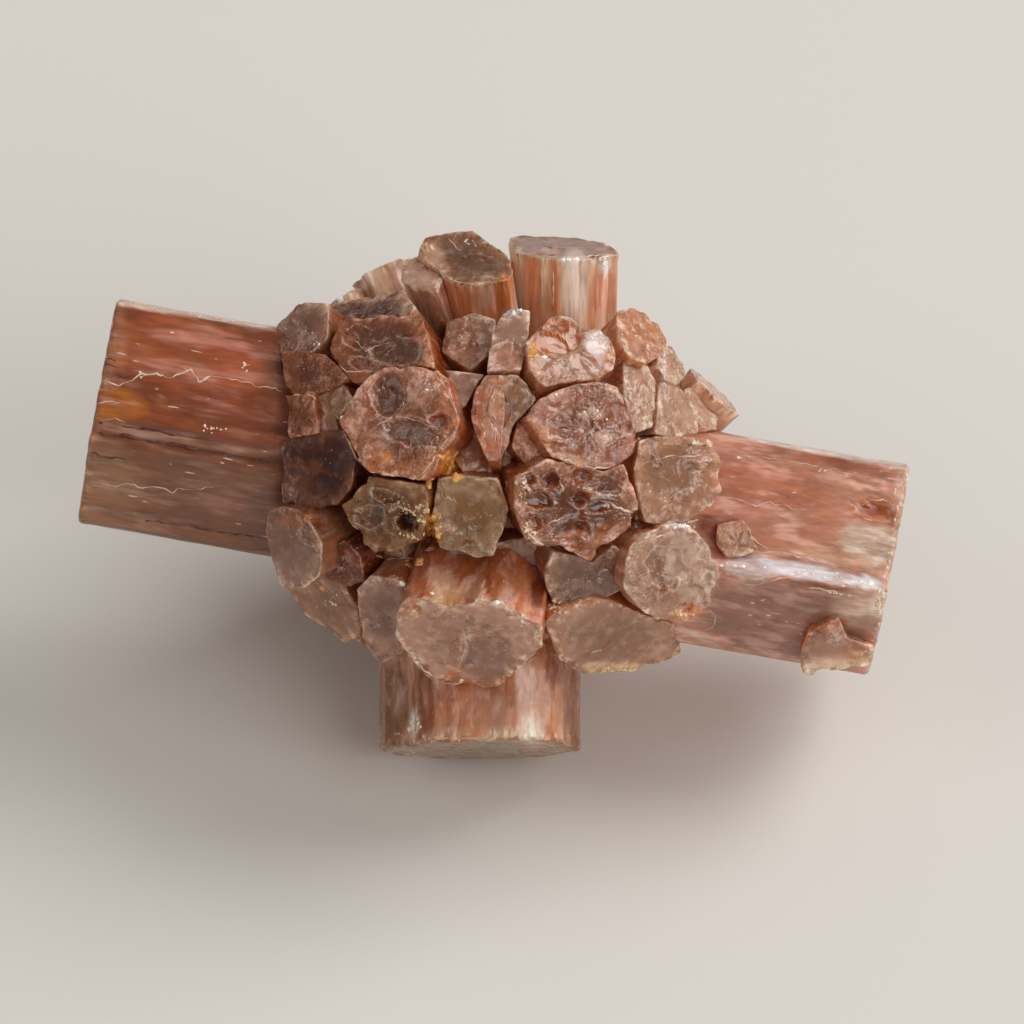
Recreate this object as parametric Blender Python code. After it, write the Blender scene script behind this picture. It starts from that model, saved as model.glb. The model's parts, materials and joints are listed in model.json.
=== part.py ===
"""Aragonite specimen: six-sided twinned prisms grown together out of one centre.

Three long prisms (left, right and foot) cross at the centre, and shorter ones stand round it like the
spikes of a burr. The whole is one piece of stone, so all of them are joined in one solid.

The crystals are laid out in the front view, in millimetres from the cluster's centre: x to the right,
y away from the viewer, z up. At the end the front view leans back by LEAN and is lifted, so that the
cluster rests on the flat tip of its base crystal, at z = 0.
"""

import math
import random

import bmesh
import bpy
from mathutils import Matrix, Vector

MM = 0.001

# Driving dimensions, in millimetres and degrees
LEAN = 45.0            # how far the front view leans back when the cluster rests
REACH = 14.3           # from the centre to the tips of the short crystals
CORE_RADIUS = 8.5      # the solid middle, hidden by the crystals
BASE_REACH = 16.5      # from the centre to the flat tip that the cluster rests on
BASE_ACROSS = 12.4     # width of that tip
RIM_CHAMFER = 0.16     # worn edge round each tip
PRISM_CHAMFER = 0.35   # the same on the three long prisms
ROOT_SHRINK = 0.8      # a crystal narrows to this share of its width at its root
ROOT_LENGTH = 10.5     # how far a short crystal runs inwards from its tip
WELD = 0.008           # points nearer than this are made one after the crystals are joined

# Rules for the crystals that the front view hides
BACK_SEED = 14
BACK_REACH = (13.4, 15.4)
BACK_ACROSS = (6.0, 10.4)
BACK_TRIES = 700       # places tried, evenly spread over the sphere
BACK_CLEAR = 0.80      # share of two neighbours' widths kept between their middles
HIDDEN_FROM = -0.2     # the hidden crystals begin this far on the viewer's side, on a sphere of radius 1
FILL_REACH = (11.6, 12.7)
FILL_ACROSS = (3.2, 4.8)
FILL_TRIES = 150
FILL_CLEAR = 34.0      # degrees round the two tall top crystals that stay free of filling ones

# How far a hidden crystal may reach in the front view, so that none shows past the outline that the front
# crystals make: (degrees anticlockwise from the right, millimetres from the centre)
HIDDEN_LIMIT = [
    (0, 15.0), (12, 14.5), (24, 13.2), (30, 12.4), (45, 12.0),
    (52, 11.4), (60, 12.2), (75, 13.0), (90, 12.8),
    (110, 13.2), (130, 13.4), (150, 15.0), (200, 15.0), (240, 14.4), (300, 14.4), (360, 15.0),
]

LEFT_SLOPE = 9.95      # the left prism rises to the left, and the right one falls to the right
RIGHT_SLOPE = 9.9
FOOT_TILT = 7.7        # the foot prism's tip leans towards the viewer

# The three long prisms: the middle of the tip, the way it points, and the cross-section seen from the
# tip's side of the front view as (up, towards the viewer), or (right, towards the viewer) on the foot.
LONG_PRISMS = {
    "left": {
        "tip": (-25.0, 0.0, 3.1),
        "length": 27.0, "end_slant": 0.0,
        "section": [
            (7.05, 3.3), (6.7, 4.3), (-0.3, 7.7), (-0.8, 7.3),
            (-1.5, 7.3), (-1.9, 7.6), (-6.8, 4.4), (-7.15, 3.5),
            (-7.15, -3.6), (-2.6, -7.2), (-1.2, -6.9), (0.3, -7.6), (6.6, -4.4), (7.05, -3.2),
        ],
    },
    "right": {
        "tip": (24.25, 0.0, -6.65),
        "length": 27.0, "end_slant": 0.025,
        "section": [
            (6.5, 3.2), (6.15, 4.1), (5.0, 4.9), (-0.6, 6.7), (-1.9, 7.8), (-6.3, 4.7), (-6.9, 3.7),
            (-6.9, -3.4), (-3.0, -6.6), (-2.2, -6.3), (0.4, -7.4), (6.2, -4.2), (6.5, -3.3),
        ],
    },
    "foot": {
        "tip": (-1.3, -1.4, -18.05),
        "length": 20.0, "end_slant": 0.0,
        "section": [
            (-6.35, -1.4), (-5.9, 0.9), (-4.4, 1.9), (-3.9, 3.4),
            (-2.8, 4.3), (2.1, 5.7), (4.5, 4.8), (5.3, 3.4),
            (5.6, 1.0), (6.3, 0.4), (6.4, -1.5), (3.9, -4.9), (3.0, -4.7), (-2.3, -5.7), (-5.4, -3.6),
        ],
    },
}

# The crystals of the front: the outline of each tip as the viewer sees it (right, up). depth is how far
# the tip's middle stands towards the viewer, and slant is the angle between the crystal and the line of
# sight. Without them the tip lies on the sphere of radius REACH, and the crystal points out of the centre.
FRONT_CRYSTALS = {
    "tall_top_left": {
        "outline": [
            (-5.3, 12.9), (-4.7, 13.9), (-3.3, 14.3), (-1.9, 14.5), (-0.2, 13.3), (0.5, 12.8), (0.8, 11.8),
            (0.5, 11.2), (-1.9, 10.8), (-2.8, 10.9), (-3.5, 11.5), (-4.5, 12.3),
        ],
        "slant": 57, "depth": 5.0, "root": 0.97, "clear": True,
    },
    "side_of_top_left": {
        "outline": [
            (-6.1, 12.2), (-5.3, 12.8), (-4.4, 12.2), (-3.5, 11.4),
            (-3.9, 10.4), (-5.4, 10.6), (-6.2, 11.2),
        ],
        "slant": 57, "depth": 4.6, "root": 0.97,
    },
    "tall_top": {
        "outline": [
            (0.5, 13.4), (0.6, 13.9), (1.4, 14.1), (4.7, 13.9), (6.4, 13.6), (7.3, 13.1), (7.4, 12.8),
            (6.0, 12.5), (3.5, 12.4), (2.2, 12.6), (1.0, 12.9),
        ],
        "depth": 3.6, "way": (0.01, -0.242, 0.970), "root": 1.0, "clear": True,
    },
    "upper_left": {
        "outline": [
            (-10.2, 8.7), (-7.5, 9.0), (-4.9, 8.8), (-4.4, 7.5), (-4.0, 5.6), (-6.2, 5.5), (-8.1, 4.8),
            (-9.0, 4.7), (-9.9, 5.5), (-10.6, 6.9),
        ],
    },
    "behind_upper_left": {
        "outline": [
            (-10.9, 9.7), (-8.2, 10.2), (-6.1, 10.7), (-5.2, 9.4), (-6.5, 8.3), (-9.3, 8.0),
            (-10.9, 8.6),
        ],
        "depth": 6.4,
    },
    "mid_left": {
        "outline": [
            (-10.0, 2.5), (-9.2, 3.7), (-7.8, 5.6), (-5.4, 5.7), (-3.9, 5.5), (-3.3, 4.9), (-2.5, 2.2),
            (-2.9, 1.2), (-3.6, 0.4), (-4.1, -0.8), (-5.0, -1.3), (-7.9, -0.9), (-8.7, -0.2), (-9.3, 1.0),
        ],
        "depth": 13.4,
    },
    "centre_left_half": {
        "outline": [
            (-1.9, 3.1), (-1.4, 4.5), (-0.9, 5.2), (0.3, 5.2), (0.3, 2.6), (0.0, -0.1), (-0.8, -0.1),
            (-1.6, 1.9),
        ],
        "depth": 14.2, "slant": 20,
    },
    "centre_right_half": {
        "outline": [
            (-0.1, 5.2), (1.1, 5.2), (1.9, 4.4), (2.3, 3.7), (1.4, 2.6), (0.8, 2.1), (0.6, 1.0),
            (0.0, -0.2), (-0.3, 2.6),
        ],
        "depth": 14.0, "slant": 16,
    },
    "pale_wedge": {
        "outline": [(-3.4, 5.5), (-0.9, 5.2), (-1.4, 4.5), (-2.1, 3.2), (-2.6, 3.0), (-3.1, 4.4)],
        "depth": 12.7, "slant": 12,
    },
    "upper_block": {
        "outline": [(-0.8, 5.4), (-0.5, 7.8), (0.2, 9.0), (1.1, 9.3), (1.9, 9.2), (1.8, 7.6), (1.3, 5.4)],
        "depth": 12.0, "slant": 34,
    },
    "stem_of_upper_block": {
        "outline": [(-3.6, 6.6), (-3.3, 8.6), (-1.6, 9.1), (-0.2, 8.7), (-0.5, 6.6), (-1.9, 5.5)],
        "depth": 10.4, "slant": 40,
    },
    "upper_right": {
        "outline": [
            (1.6, 7.2), (2.3, 7.9), (3.3, 8.9), (4.4, 8.8), (5.2, 8.1), (6.2, 8.2), (6.9, 7.4), (7.2, 6.5),
            (7.0, 5.5), (6.2, 5.0), (3.6, 4.7), (2.8, 4.4), (1.8, 5.6),
        ],
        "depth": 12.0, "slant": 36,
    },
    "right_of_centre": {
        "outline": [
            (1.6, 2.6), (2.5, 3.7), (3.5, 4.2), (5.0, 4.7), (6.4, 4.8), (7.4, 4.4), (8.2, 2.5), (8.5, 1.3),
            (8.3, 0.4), (7.0, -0.6), (5.6, -0.7), (4.0, -0.2), (3.1, 0.2), (2.3, 1.6),
        ],
        "depth": 13.6,
    },
    "orange_side": {
        "outline": [(1.1, 2.3), (2.3, 2.5), (3.2, 0.4), (3.4, -0.5), (1.8, -0.6), (0.7, 0.7)],
        "depth": 13.2, "slant": 14,
    },
    "dark_pitted": {
        "outline": [
            (0.9, -1.1), (1.6, -0.8), (2.9, 0.0), (6.5, -0.8),
            (7.6, -0.3), (8.3, -1.9), (8.6, -2.8), (8.3, -4.2),
            (7.5, -4.7), (6.2, -5.7), (5.7, -6.4), (3.9, -5.5), (2.5, -5.4), (1.6, -5.0), (0.9, -3.1),
        ],
        "depth": 13.8,
    },
    "grey_right": {
        "outline": [
            (8.7, 1.1), (9.7, 1.4), (11.3, 1.4), (13.2, 1.2), (13.8, -0.3), (13.5, -1.2), (13.8, -1.9),
            (13.2, -2.8), (11.8, -3.9), (10.0, -4.1), (9.0, -3.9), (8.5, -2.2), (8.3, -0.6),
        ],
        "depth": 10.8, "slant": 32,
    },
    "upper_right_rim": {
        "outline": [
            (7.3, 9.2), (8.2, 9.5), (9.2, 9.1), (10.0, 8.4), (10.5, 7.5), (10.2, 6.6), (9.2, 6.0),
            (8.2, 6.3), (7.5, 7.2),
        ],
        "depth": 8.4,
    },
    "right_rim": {
        "outline": [
            (10.1, 7.2), (10.8, 7.1), (11.5, 6.0), (11.6, 5.2), (11.1, 4.6), (10.2, 5.0), (9.8, 6.1),
        ],
        "depth": 6.4, "slant": 58,
    },
    "under_right_rim": {
        "outline": [(7.6, 6.2), (9.1, 6.0), (9.8, 4.6), (9.5, 2.0), (8.4, 1.6), (7.7, 3.6)],
        "depth": 9.8, "slant": 44,
    },
    "beside_right_rim": {
        "outline": [(9.9, 4.8), (11.2, 4.6), (12.4, 2.9), (12.3, 1.6), (10.6, 1.2), (9.6, 1.6)],
        "depth": 8.2, "slant": 50,
    },
    "grey_smooth": {
        "outline": [
            (2.7, -6.9), (3.3, -5.7), (4.7, -5.9), (5.7, -6.4), (7.0, -5.3), (7.6, -5.7), (8.0, -6.4),
            (7.5, -8.1), (6.5, -8.6), (5.0, -9.0), (4.7, -9.7), (3.6, -9.6), (2.9, -8.0),
        ],
        "depth": 11.2,
    },
    "dusty_lower_right": {
        "outline": [
            (7.8, -6.2), (8.2, -5.3), (8.8, -4.7), (10.5, -4.0), (11.8, -4.1), (12.9, -5.3), (13.6, -6.9),
            (13.8, -7.8), (13.0, -9.0), (12.3, -9.8), (11.3, -10.1),
            (10.0, -10.1), (8.7, -9.4), (7.7, -8.0),
        ],
        "depth": 10.3, "slant": 36,
    },
    "big_bottom": {
        "outline": [
            (-6.5, -10.9), (-6.4, -9.5), (-5.9, -8.8), (-4.7, -8.6),
            (-3.4, -8.9), (-2.2, -9.0), (-1.2, -8.6),
            (0.0, -8.8), (1.4, -9.7), (2.6, -10.3), (2.6, -11.7),
            (1.2, -13.0), (-0.2, -14.1), (-1.9, -14.1),
            (-4.4, -13.6), (-5.2, -12.8), (-6.2, -11.4),
        ],
        "depth": 11.4, "slant": 50, "root": 0.92,
    },
    "green_grey": {
        "outline": [
            (-3.9, -1.2), (-2.0, -1.0), (-0.1, -1.2), (0.6, -3.1), (0.1, -4.8), (-0.4, -6.0), (-1.4, -6.1),
            (-3.7, -5.5), (-4.2, -3.7), (-4.0, -2.5),
        ],
        "depth": 13.2,
    },
    "brown_green": {
        "outline": [
            (-9.9, -2.9), (-9.2, -2.4), (-8.2, -1.1), (-6.5, -1.3),
            (-4.7, -1.6), (-4.4, -2.5), (-4.7, -4.4),
            (-5.0, -5.3), (-7.8, -6.0), (-8.6, -5.0), (-9.3, -4.0),
        ],
        "depth": 12.0,
    },
    "dark_left": {
        "outline": [
            (-13.5, 1.2), (-11.6, 1.6), (-9.6, 1.9), (-8.8, 0.2), (-9.2, -1.9), (-10.2, -2.9),
            (-12.0, -3.1), (-13.5, -2.7),
        ],
        "depth": 9.6, "slant": 36,
    },
    "small_left": {
        "outline": [(-13.3, 3.9), (-11.6, 4.3), (-11.3, 1.6), (-13.1, 1.3)],
        "depth": 9.0, "slant": 40,
    },
    "pale_brown_left": {
        "outline": [(-11.4, 4.0), (-9.9, 5.0), (-9.0, 3.6), (-10.1, 2.4), (-9.9, 1.6), (-11.1, 1.2)],
        "depth": 9.8, "slant": 38,
    },
    "upper_left_edge": {
        "outline": [
            (-14.0, 8.4), (-12.5, 9.8), (-11.6, 9.8), (-10.6, 9.7), (-10.7, 7.6), (-11.8, 6.4),
            (-13.7, 6.6),
        ],
        "depth": 5.4, "slant": 50,
    },
    "left_shoulder": {
        "outline": [
            (-13.7, 6.7), (-12.6, 6.9), (-10.8, 6.5), (-9.4, 5.0), (-10.6, 4.3), (-12.5, 3.7),
            (-13.4, 4.6),
        ],
        "depth": 7.8, "slant": 46,
    },
    "pale_lower_left": {
        "outline": [
            (-14.5, -4.4), (-14.3, -3.2), (-13.5, -2.9), (-12.5, -3.1), (-11.8, -3.6), (-10.9, -5.3),
            (-11.1, -7.2), (-12.1, -8.0), (-13.5, -8.1), (-14.2, -6.2),
        ],
        "depth": 8.9, "slant": 44,
    },
    "lower_left_edge": {
        "outline": [
            (-13.5, -8.1), (-12.2, -7.9), (-10.6, -7.2), (-9.7, -7.8), (-8.9, -9.4), (-8.7, -11.0),
            (-9.6, -11.6), (-12.1, -9.9),
        ],
        "depth": 5.2, "slant": 52,
    },
    "brown_lower_left": {
        "outline": [(-11.0, -5.6), (-9.6, -5.0), (-8.6, -6.0), (-8.3, -7.6), (-9.6, -8.0), (-10.9, -7.4)],
        "depth": 8.8, "slant": 44,
    },
    "bottom_left": {
        "outline": [
            (-8.9, -8.1), (-8.0, -7.2), (-6.4, -7.4), (-5.4, -8.2),
            (-5.6, -9.6), (-6.0, -12.0), (-7.6, -12.8),
            (-8.6, -10.9),
        ],
        "depth": 8.9, "slant": 46,
    },
    "bottom_right": {
        "outline": [
            (2.8, -10.3), (3.2, -9.7), (4.9, -9.0), (6.2, -8.6), (7.5, -9.0), (10.0, -10.1), (11.2, -10.3),
            (11.4, -11.3), (11.3, -12.2), (9.4, -13.0), (7.2, -13.4), (5.0, -13.4), (3.7, -12.4),
        ],
        "depth": 7.0, "slant": 54,
    },
    "recessed_centre": {
        "outline": [(-0.4, -5.2), (1.8, -4.8), (3.0, -5.6), (3.0, -8.4), (1.6, -8.9), (-0.2, -7.0)],
        "depth": 10.6, "slant": 30,
    },
    "on_right_prism": {
        "outline": [
            (13.4, -4.0), (15.0, -3.7), (15.5, -4.4), (16.0, -5.6), (15.0, -6.0), (14.0, -6.1),
            (13.3, -5.3),
        ],
        "depth": 7.7, "way": (0.16, -0.96, -0.08), "length": 5.0,
    },
    "lump_on_right_prism": {
        "outline": [
            (18.6, -11.6), (19.0, -10.7), (20.9, -9.8), (21.4, -11.0), (23.2, -11.7), (22.9, -12.8),
            (20.9, -13.1), (19.6, -13.2), (19.2, -13.5), (18.7, -13.3), (18.5, -12.6),
        ],
        "depth": 6.2, "way": (0.05, -0.86, -0.50), "length": 5.0, "root": 0.9,
    },
}

# Crystals that only show their sides on the outline: middle of the tip, the way it points, its width
# and thickness.
EDGE_CRYSTALS = {
    "pale_behind_top": {"tip": (-7.4, 3.4, 11.9), "way": (-0.42, 0.16, 0.89), "across": 5.2, "thick": 4.2},
    "pale_step": {"tip": (-9.9, 1.6, 10.2), "way": (-0.52, 0.10, 0.85), "across": 3.0, "thick": 3.2},
    "pale_right": {"tip": (13.4, -1.2, 4.4), "way": (0.70, -0.16, 0.69), "across": 3.3, "thick": 4.6},
    "right_shoulder": {"tip": (12.6, -3.2, 3.2), "way": (0.72, -0.42, 0.55), "across": 3.4, "thick": 4.0},
}

BASE_COLOUR = (0.29, 0.14, 0.10)
ROUGHNESS = 0.38


def clear_scene():
    for obj in list(bpy.data.objects):
        bpy.data.objects.remove(obj)


def stone_material():
    material = bpy.data.materials.new("aragonite")
    material.use_nodes = True
    shader = material.node_tree.nodes["Principled BSDF"]
    shader.inputs["Base Color"].default_value = (*BASE_COLOUR, 1.0)
    shader.inputs["Roughness"].default_value = ROUGHNESS
    shader.inputs["Metallic"].default_value = 0.0
    return material


def crystal(name, outline, way, length, root, chamfer=RIM_CHAMFER):
    """One prism as a mesh object. `outline` is the rim of its tip, a ring of points that runs round `way`.

    It has three rings: the root, shrunk to `root` of the width, the rim just under the tip, and the tip's
    flat face, drawn in by the chamfer.
    """
    middle = sum(outline, Vector()) / len(outline)
    radius = sum((point - middle).length for point in outline) / len(outline)
    rings = []
    for size, depth in ((root, length), (1.0, chamfer), (1.0 - chamfer / radius, 0.0)):
        rings.append([middle + (point - middle) * size - way * depth for point in outline])
    mesh = bmesh.new()
    rows = [[mesh.verts.new(point * MM) for point in ring] for ring in rings]
    mesh.faces.new(rows[0])
    mesh.faces.new(rows[-1])
    for low, high in zip(rows, rows[1:]):
        for i in range(len(low)):
            mesh.faces.new((low[i - 1], low[i], high[i], high[i - 1]))
    bmesh.ops.recalc_face_normals(mesh, faces=mesh.faces)
    data = bpy.data.meshes.new(name)
    mesh.to_mesh(data)
    mesh.free()
    return bpy.data.objects.new(name, data)


def front_crystal(name, spec):
    """A crystal of the front: its drawn outline is carried along the line of sight onto the tip's plane."""
    outline = spec["outline"]
    right = sum(point[0] for point in outline) / len(outline)
    up = sum(point[1] for point in outline) / len(outline)
    aside = math.hypot(right, up)
    depth = spec.get("depth", math.sqrt(max(REACH**2 - aside**2, 0.0)))
    slant = math.radians(spec["slant"]) if "slant" in spec else math.atan2(aside, depth)
    middle = Vector((right, -depth, up))
    way = Vector((right / aside * math.sin(slant), -math.cos(slant), up / aside * math.sin(slant)))
    if "way" in spec:
        way = Vector(spec["way"]).normalized()
    tip = []
    for x, z in outline:
        away = (way.x * (x - middle.x) + way.z * (z - middle.z)) / -way.y
        tip.append(Vector((x, middle.y + away, z)))
    return crystal(name, tip, way, spec.get("length", ROOT_LENGTH), spec.get("root", ROOT_SHRINK))


def long_prism(name):
    """One of the three long prisms, from its cross-section."""
    spec = LONG_PRISMS[name]
    way, side = prism_directions(name)
    towards = side.cross(way) if name == "right" else way.cross(side)
    if towards.y > 0:
        towards = -towards
    tip = []
    for a, b in spec["section"]:
        tip.append(Vector(spec["tip"]) + side * a + towards * b + way * a * spec["end_slant"])
    return crystal(name + "_prism", tip, way, spec["length"], 1.0, PRISM_CHAMFER)


def prism_directions(name):
    """The way a long prism points, and the direction of its cross-section's first number."""
    if name == "foot":
        tilt = math.radians(FOOT_TILT)
        return Vector((0.0, -math.sin(tilt), -math.cos(tilt))), Vector((1.0, 0.0, 0.0))
    slope = math.radians(LEFT_SLOPE if name == "left" else RIGHT_SLOPE)
    side = Vector((math.sin(slope), 0.0, math.cos(slope)))
    way = Vector((math.cos(slope), 0.0, -math.sin(slope)))
    return (-way if name == "left" else way), side


def six_sided(rng, middle, way, across, thick):
    """An uneven hexagon round `way`, with one or two of its corners cut, as on a twinned prism."""
    side = way.orthogonal().normalized()
    side.rotate(Matrix.Rotation(rng.uniform(0.0, math.pi), 3, way))
    other = way.cross(side)
    cut = rng.sample(range(6), 2)
    tip = []
    for corner in range(6):
        turn = math.radians(60 * corner + rng.uniform(-7.0, 7.0))
        size = rng.uniform(0.93, 1.07)
        spread = math.radians(rng.uniform(8.0, 12.0)) if corner in cut else 0.0
        for angle in ((turn - spread, turn + spread) if spread else (turn,)):
            corner_place = side * math.cos(angle) * across + other * math.sin(angle) * thick
            tip.append(middle + corner_place * size / 2)
    return tip


def edge_crystal(rng, name, spec):
    way = Vector(spec["way"]).normalized()
    tip = six_sided(rng, Vector(spec["tip"]), way, spec["across"], spec["thick"])
    return crystal(name, tip, way, ROOT_LENGTH, 0.95)


def base_crystal():
    """The crystal that the cluster rests on. It points straight down once the cluster leans back."""
    lean = math.radians(LEAN)
    way = Vector((0.0, math.sin(lean), -math.cos(lean)))
    side = Vector((1.0, 0.0, 0.0))
    other = way.cross(side)
    tip = []
    for corner in range(6):
        turn = math.radians(60 * corner)
        tip.append(way * BASE_REACH + (side * math.cos(turn) + other * math.sin(turn)) * BASE_ACROSS / 2)
    return crystal("base", tip, way, BASE_REACH, ROOT_SHRINK)


def even_directions(count):
    """Directions spread evenly over the sphere, along a spiral."""
    golden = math.pi * (3.0 - math.sqrt(5.0))
    for i in range(count):
        up = 1.0 - (2.0 * i + 1.0) / count
        ring = math.sqrt(1.0 - up * up)
        yield Vector((math.cos(golden * i) * ring, math.sin(golden * i) * ring, up))


def tip_angle(across, reach):
    """Half the angle that a tip of this width takes up, seen from the centre."""
    return math.atan2(across / 2, reach)


def taken_places(objects):
    """The direction and half-angle of each crystal made so far, read from the rim of its tip."""
    places = []
    for obj in objects:
        points = [vertex.co / MM for vertex in obj.data.vertices]
        tip = points[2 * len(points) // 3 :]
        middle = sum(tip, Vector()) / len(tip)
        radius = sum((point - middle).length for point in tip) / len(tip)
        places.append((middle.normalized(), math.atan2(radius, middle.length)))
    return places


def hidden_limit(point):
    """How far from the centre a hidden crystal may reach in the front view, on this point's side."""
    angle = math.degrees(math.atan2(point.z, point.x)) % 360.0
    for (low, low_reach), (high, high_reach) in zip(HIDDEN_LIMIT, HIDDEN_LIMIT[1:]):
        if angle <= high:
            return low_reach + (high_reach - low_reach) * (angle - low) / (high - low)
    return HIDDEN_LIMIT[-1][1]


def overshoot(tip):
    """How far the rim of a tip shows past the limit in the front view."""
    return max(math.hypot(point.x, point.z) - hidden_limit(point) for point in tip)


def hidden_crystals(rng, taken):
    """Crystals for the back and the sides: each next place is used if its neighbours leave it room."""
    made = []
    for direction in even_directions(BACK_TRIES):
        reach = rng.uniform(*BACK_REACH)
        across = rng.uniform(*BACK_ACROSS)
        half = tip_angle(across, reach)
        wobble = Vector([rng.uniform(-0.12, 0.12) for _ in range(3)])
        crowded = any(direction.angle(way) < BACK_CLEAR * (half + room) for way, room in taken)
        if crowded or direction.y < HIDDEN_FROM:
            continue
        taken.append((direction, half))
        way = (direction + wobble).normalized()
        tip = six_sided(rng, direction * reach, way, across, across * rng.uniform(0.8, 1.0))
        lower = way * max(overshoot(tip), 0.0)
        tip = [point - lower for point in tip]
        made.append(crystal(f"back_{len(made):02d}", tip, way, ROOT_LENGTH, ROOT_SHRINK))
    return made


def filling_crystals(rng, taken, clear):
    """Small crystals that stand lower, in the gaps between the others."""
    made = []
    kept_free = math.radians(FILL_CLEAR)
    for direction in even_directions(FILL_TRIES):
        reach = rng.uniform(*FILL_REACH)
        across = rng.uniform(*FILL_ACROSS)
        wobble = Vector([rng.uniform(-0.2, 0.2) for _ in range(3)])
        if any(direction.angle(way) < 0.7 * room for way, room in taken):
            continue
        if any(direction.angle(way) < kept_free for way in clear):
            continue
        way = (direction + wobble).normalized()
        tip = six_sided(rng, direction * reach, way, across, across)
        if overshoot(tip) > 0.0:
            continue
        made.append(crystal(f"fill_{len(made):02d}", tip, way, ROOT_LENGTH, ROOT_SHRINK))
    return made


def all_crystals():
    rng = random.Random(BACK_SEED)
    crystals = [long_prism(name) for name in LONG_PRISMS]
    crystals.append(base_crystal())
    crystals += [front_crystal(name, spec) for name, spec in FRONT_CRYSTALS.items()]
    crystals += [edge_crystal(rng, name, spec) for name, spec in EDGE_CRYSTALS.items()]
    taken = taken_places(crystals)
    clear = [way for (way, _), obj in zip(taken, crystals) if FRONT_CRYSTALS.get(obj.name, {}).get("clear")]
    crystals += hidden_crystals(rng, taken)
    crystals += filling_crystals(rng, taken, clear)
    return crystals


def core_object():
    mesh = bmesh.new()
    bmesh.ops.create_icosphere(mesh, subdivisions=2, radius=CORE_RADIUS * MM)
    data = bpy.data.meshes.new("aragonite_cluster")
    mesh.to_mesh(data)
    mesh.free()
    return bpy.data.objects.new("aragonite_cluster", data)


def build():
    """Joins every crystal to the core, then leans the cluster back and stands it on its base crystal."""
    clear_scene()
    spikes = bpy.data.collections.new("crystals")
    bpy.context.scene.collection.children.link(spikes)
    pose = Matrix.Translation((0.0, 0.0, BASE_REACH * MM)) @ Matrix.Rotation(-math.radians(LEAN), 4, "X")
    for obj in all_crystals():
        obj.matrix_world = pose
        obj.hide_render = True
        obj.display_type = "WIRE"
        spikes.objects.link(obj)
    cluster = core_object()
    bpy.context.scene.collection.objects.link(cluster)
    cluster.data.materials.append(stone_material())
    cluster.matrix_world = pose
    join = cluster.modifiers.new("join", "BOOLEAN")
    join.operation = "UNION"
    join.operand_type = "COLLECTION"
    join.collection = spikes
    # The exact solver leaves edges that touch themselves where so many prisms meet
    join.solver = "MANIFOLD"
    weld = cluster.modifiers.new("weld", "WELD")
    weld.merge_threshold = WELD * MM


build()
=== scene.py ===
import json
import math
import random
from functools import partial

import bpy
import numpy as np
from mathutils import Matrix, Vector

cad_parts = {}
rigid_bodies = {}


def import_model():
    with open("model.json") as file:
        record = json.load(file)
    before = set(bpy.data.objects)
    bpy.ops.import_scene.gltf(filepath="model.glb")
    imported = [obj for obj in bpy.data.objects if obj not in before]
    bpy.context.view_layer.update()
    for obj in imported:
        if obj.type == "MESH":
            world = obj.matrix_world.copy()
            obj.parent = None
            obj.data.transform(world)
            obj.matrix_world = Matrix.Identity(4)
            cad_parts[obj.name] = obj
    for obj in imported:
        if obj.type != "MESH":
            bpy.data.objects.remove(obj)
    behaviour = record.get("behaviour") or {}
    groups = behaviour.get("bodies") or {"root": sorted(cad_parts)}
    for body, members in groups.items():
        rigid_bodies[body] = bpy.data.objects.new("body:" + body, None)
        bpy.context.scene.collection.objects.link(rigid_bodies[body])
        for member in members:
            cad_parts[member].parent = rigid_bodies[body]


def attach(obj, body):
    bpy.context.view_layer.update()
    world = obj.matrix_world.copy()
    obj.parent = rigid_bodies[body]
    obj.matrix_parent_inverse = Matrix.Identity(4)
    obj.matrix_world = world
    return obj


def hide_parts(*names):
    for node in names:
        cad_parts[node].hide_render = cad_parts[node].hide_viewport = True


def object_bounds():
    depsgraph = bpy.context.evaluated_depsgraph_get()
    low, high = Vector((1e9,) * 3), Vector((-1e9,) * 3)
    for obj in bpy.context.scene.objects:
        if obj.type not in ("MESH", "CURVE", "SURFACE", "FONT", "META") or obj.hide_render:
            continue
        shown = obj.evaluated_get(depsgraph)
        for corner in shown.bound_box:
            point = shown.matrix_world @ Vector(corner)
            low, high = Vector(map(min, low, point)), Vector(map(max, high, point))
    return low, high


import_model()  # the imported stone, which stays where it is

# Aragonite specimen: twinned six-sided prisms grown together out of one centre.
# Crystals are laid out in the front view, in millimetres from the centre: x right, y away, z up.
# The joined stone then leans back and stands on its base crystal, in metres.
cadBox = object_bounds()
mm = 0.001

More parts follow.
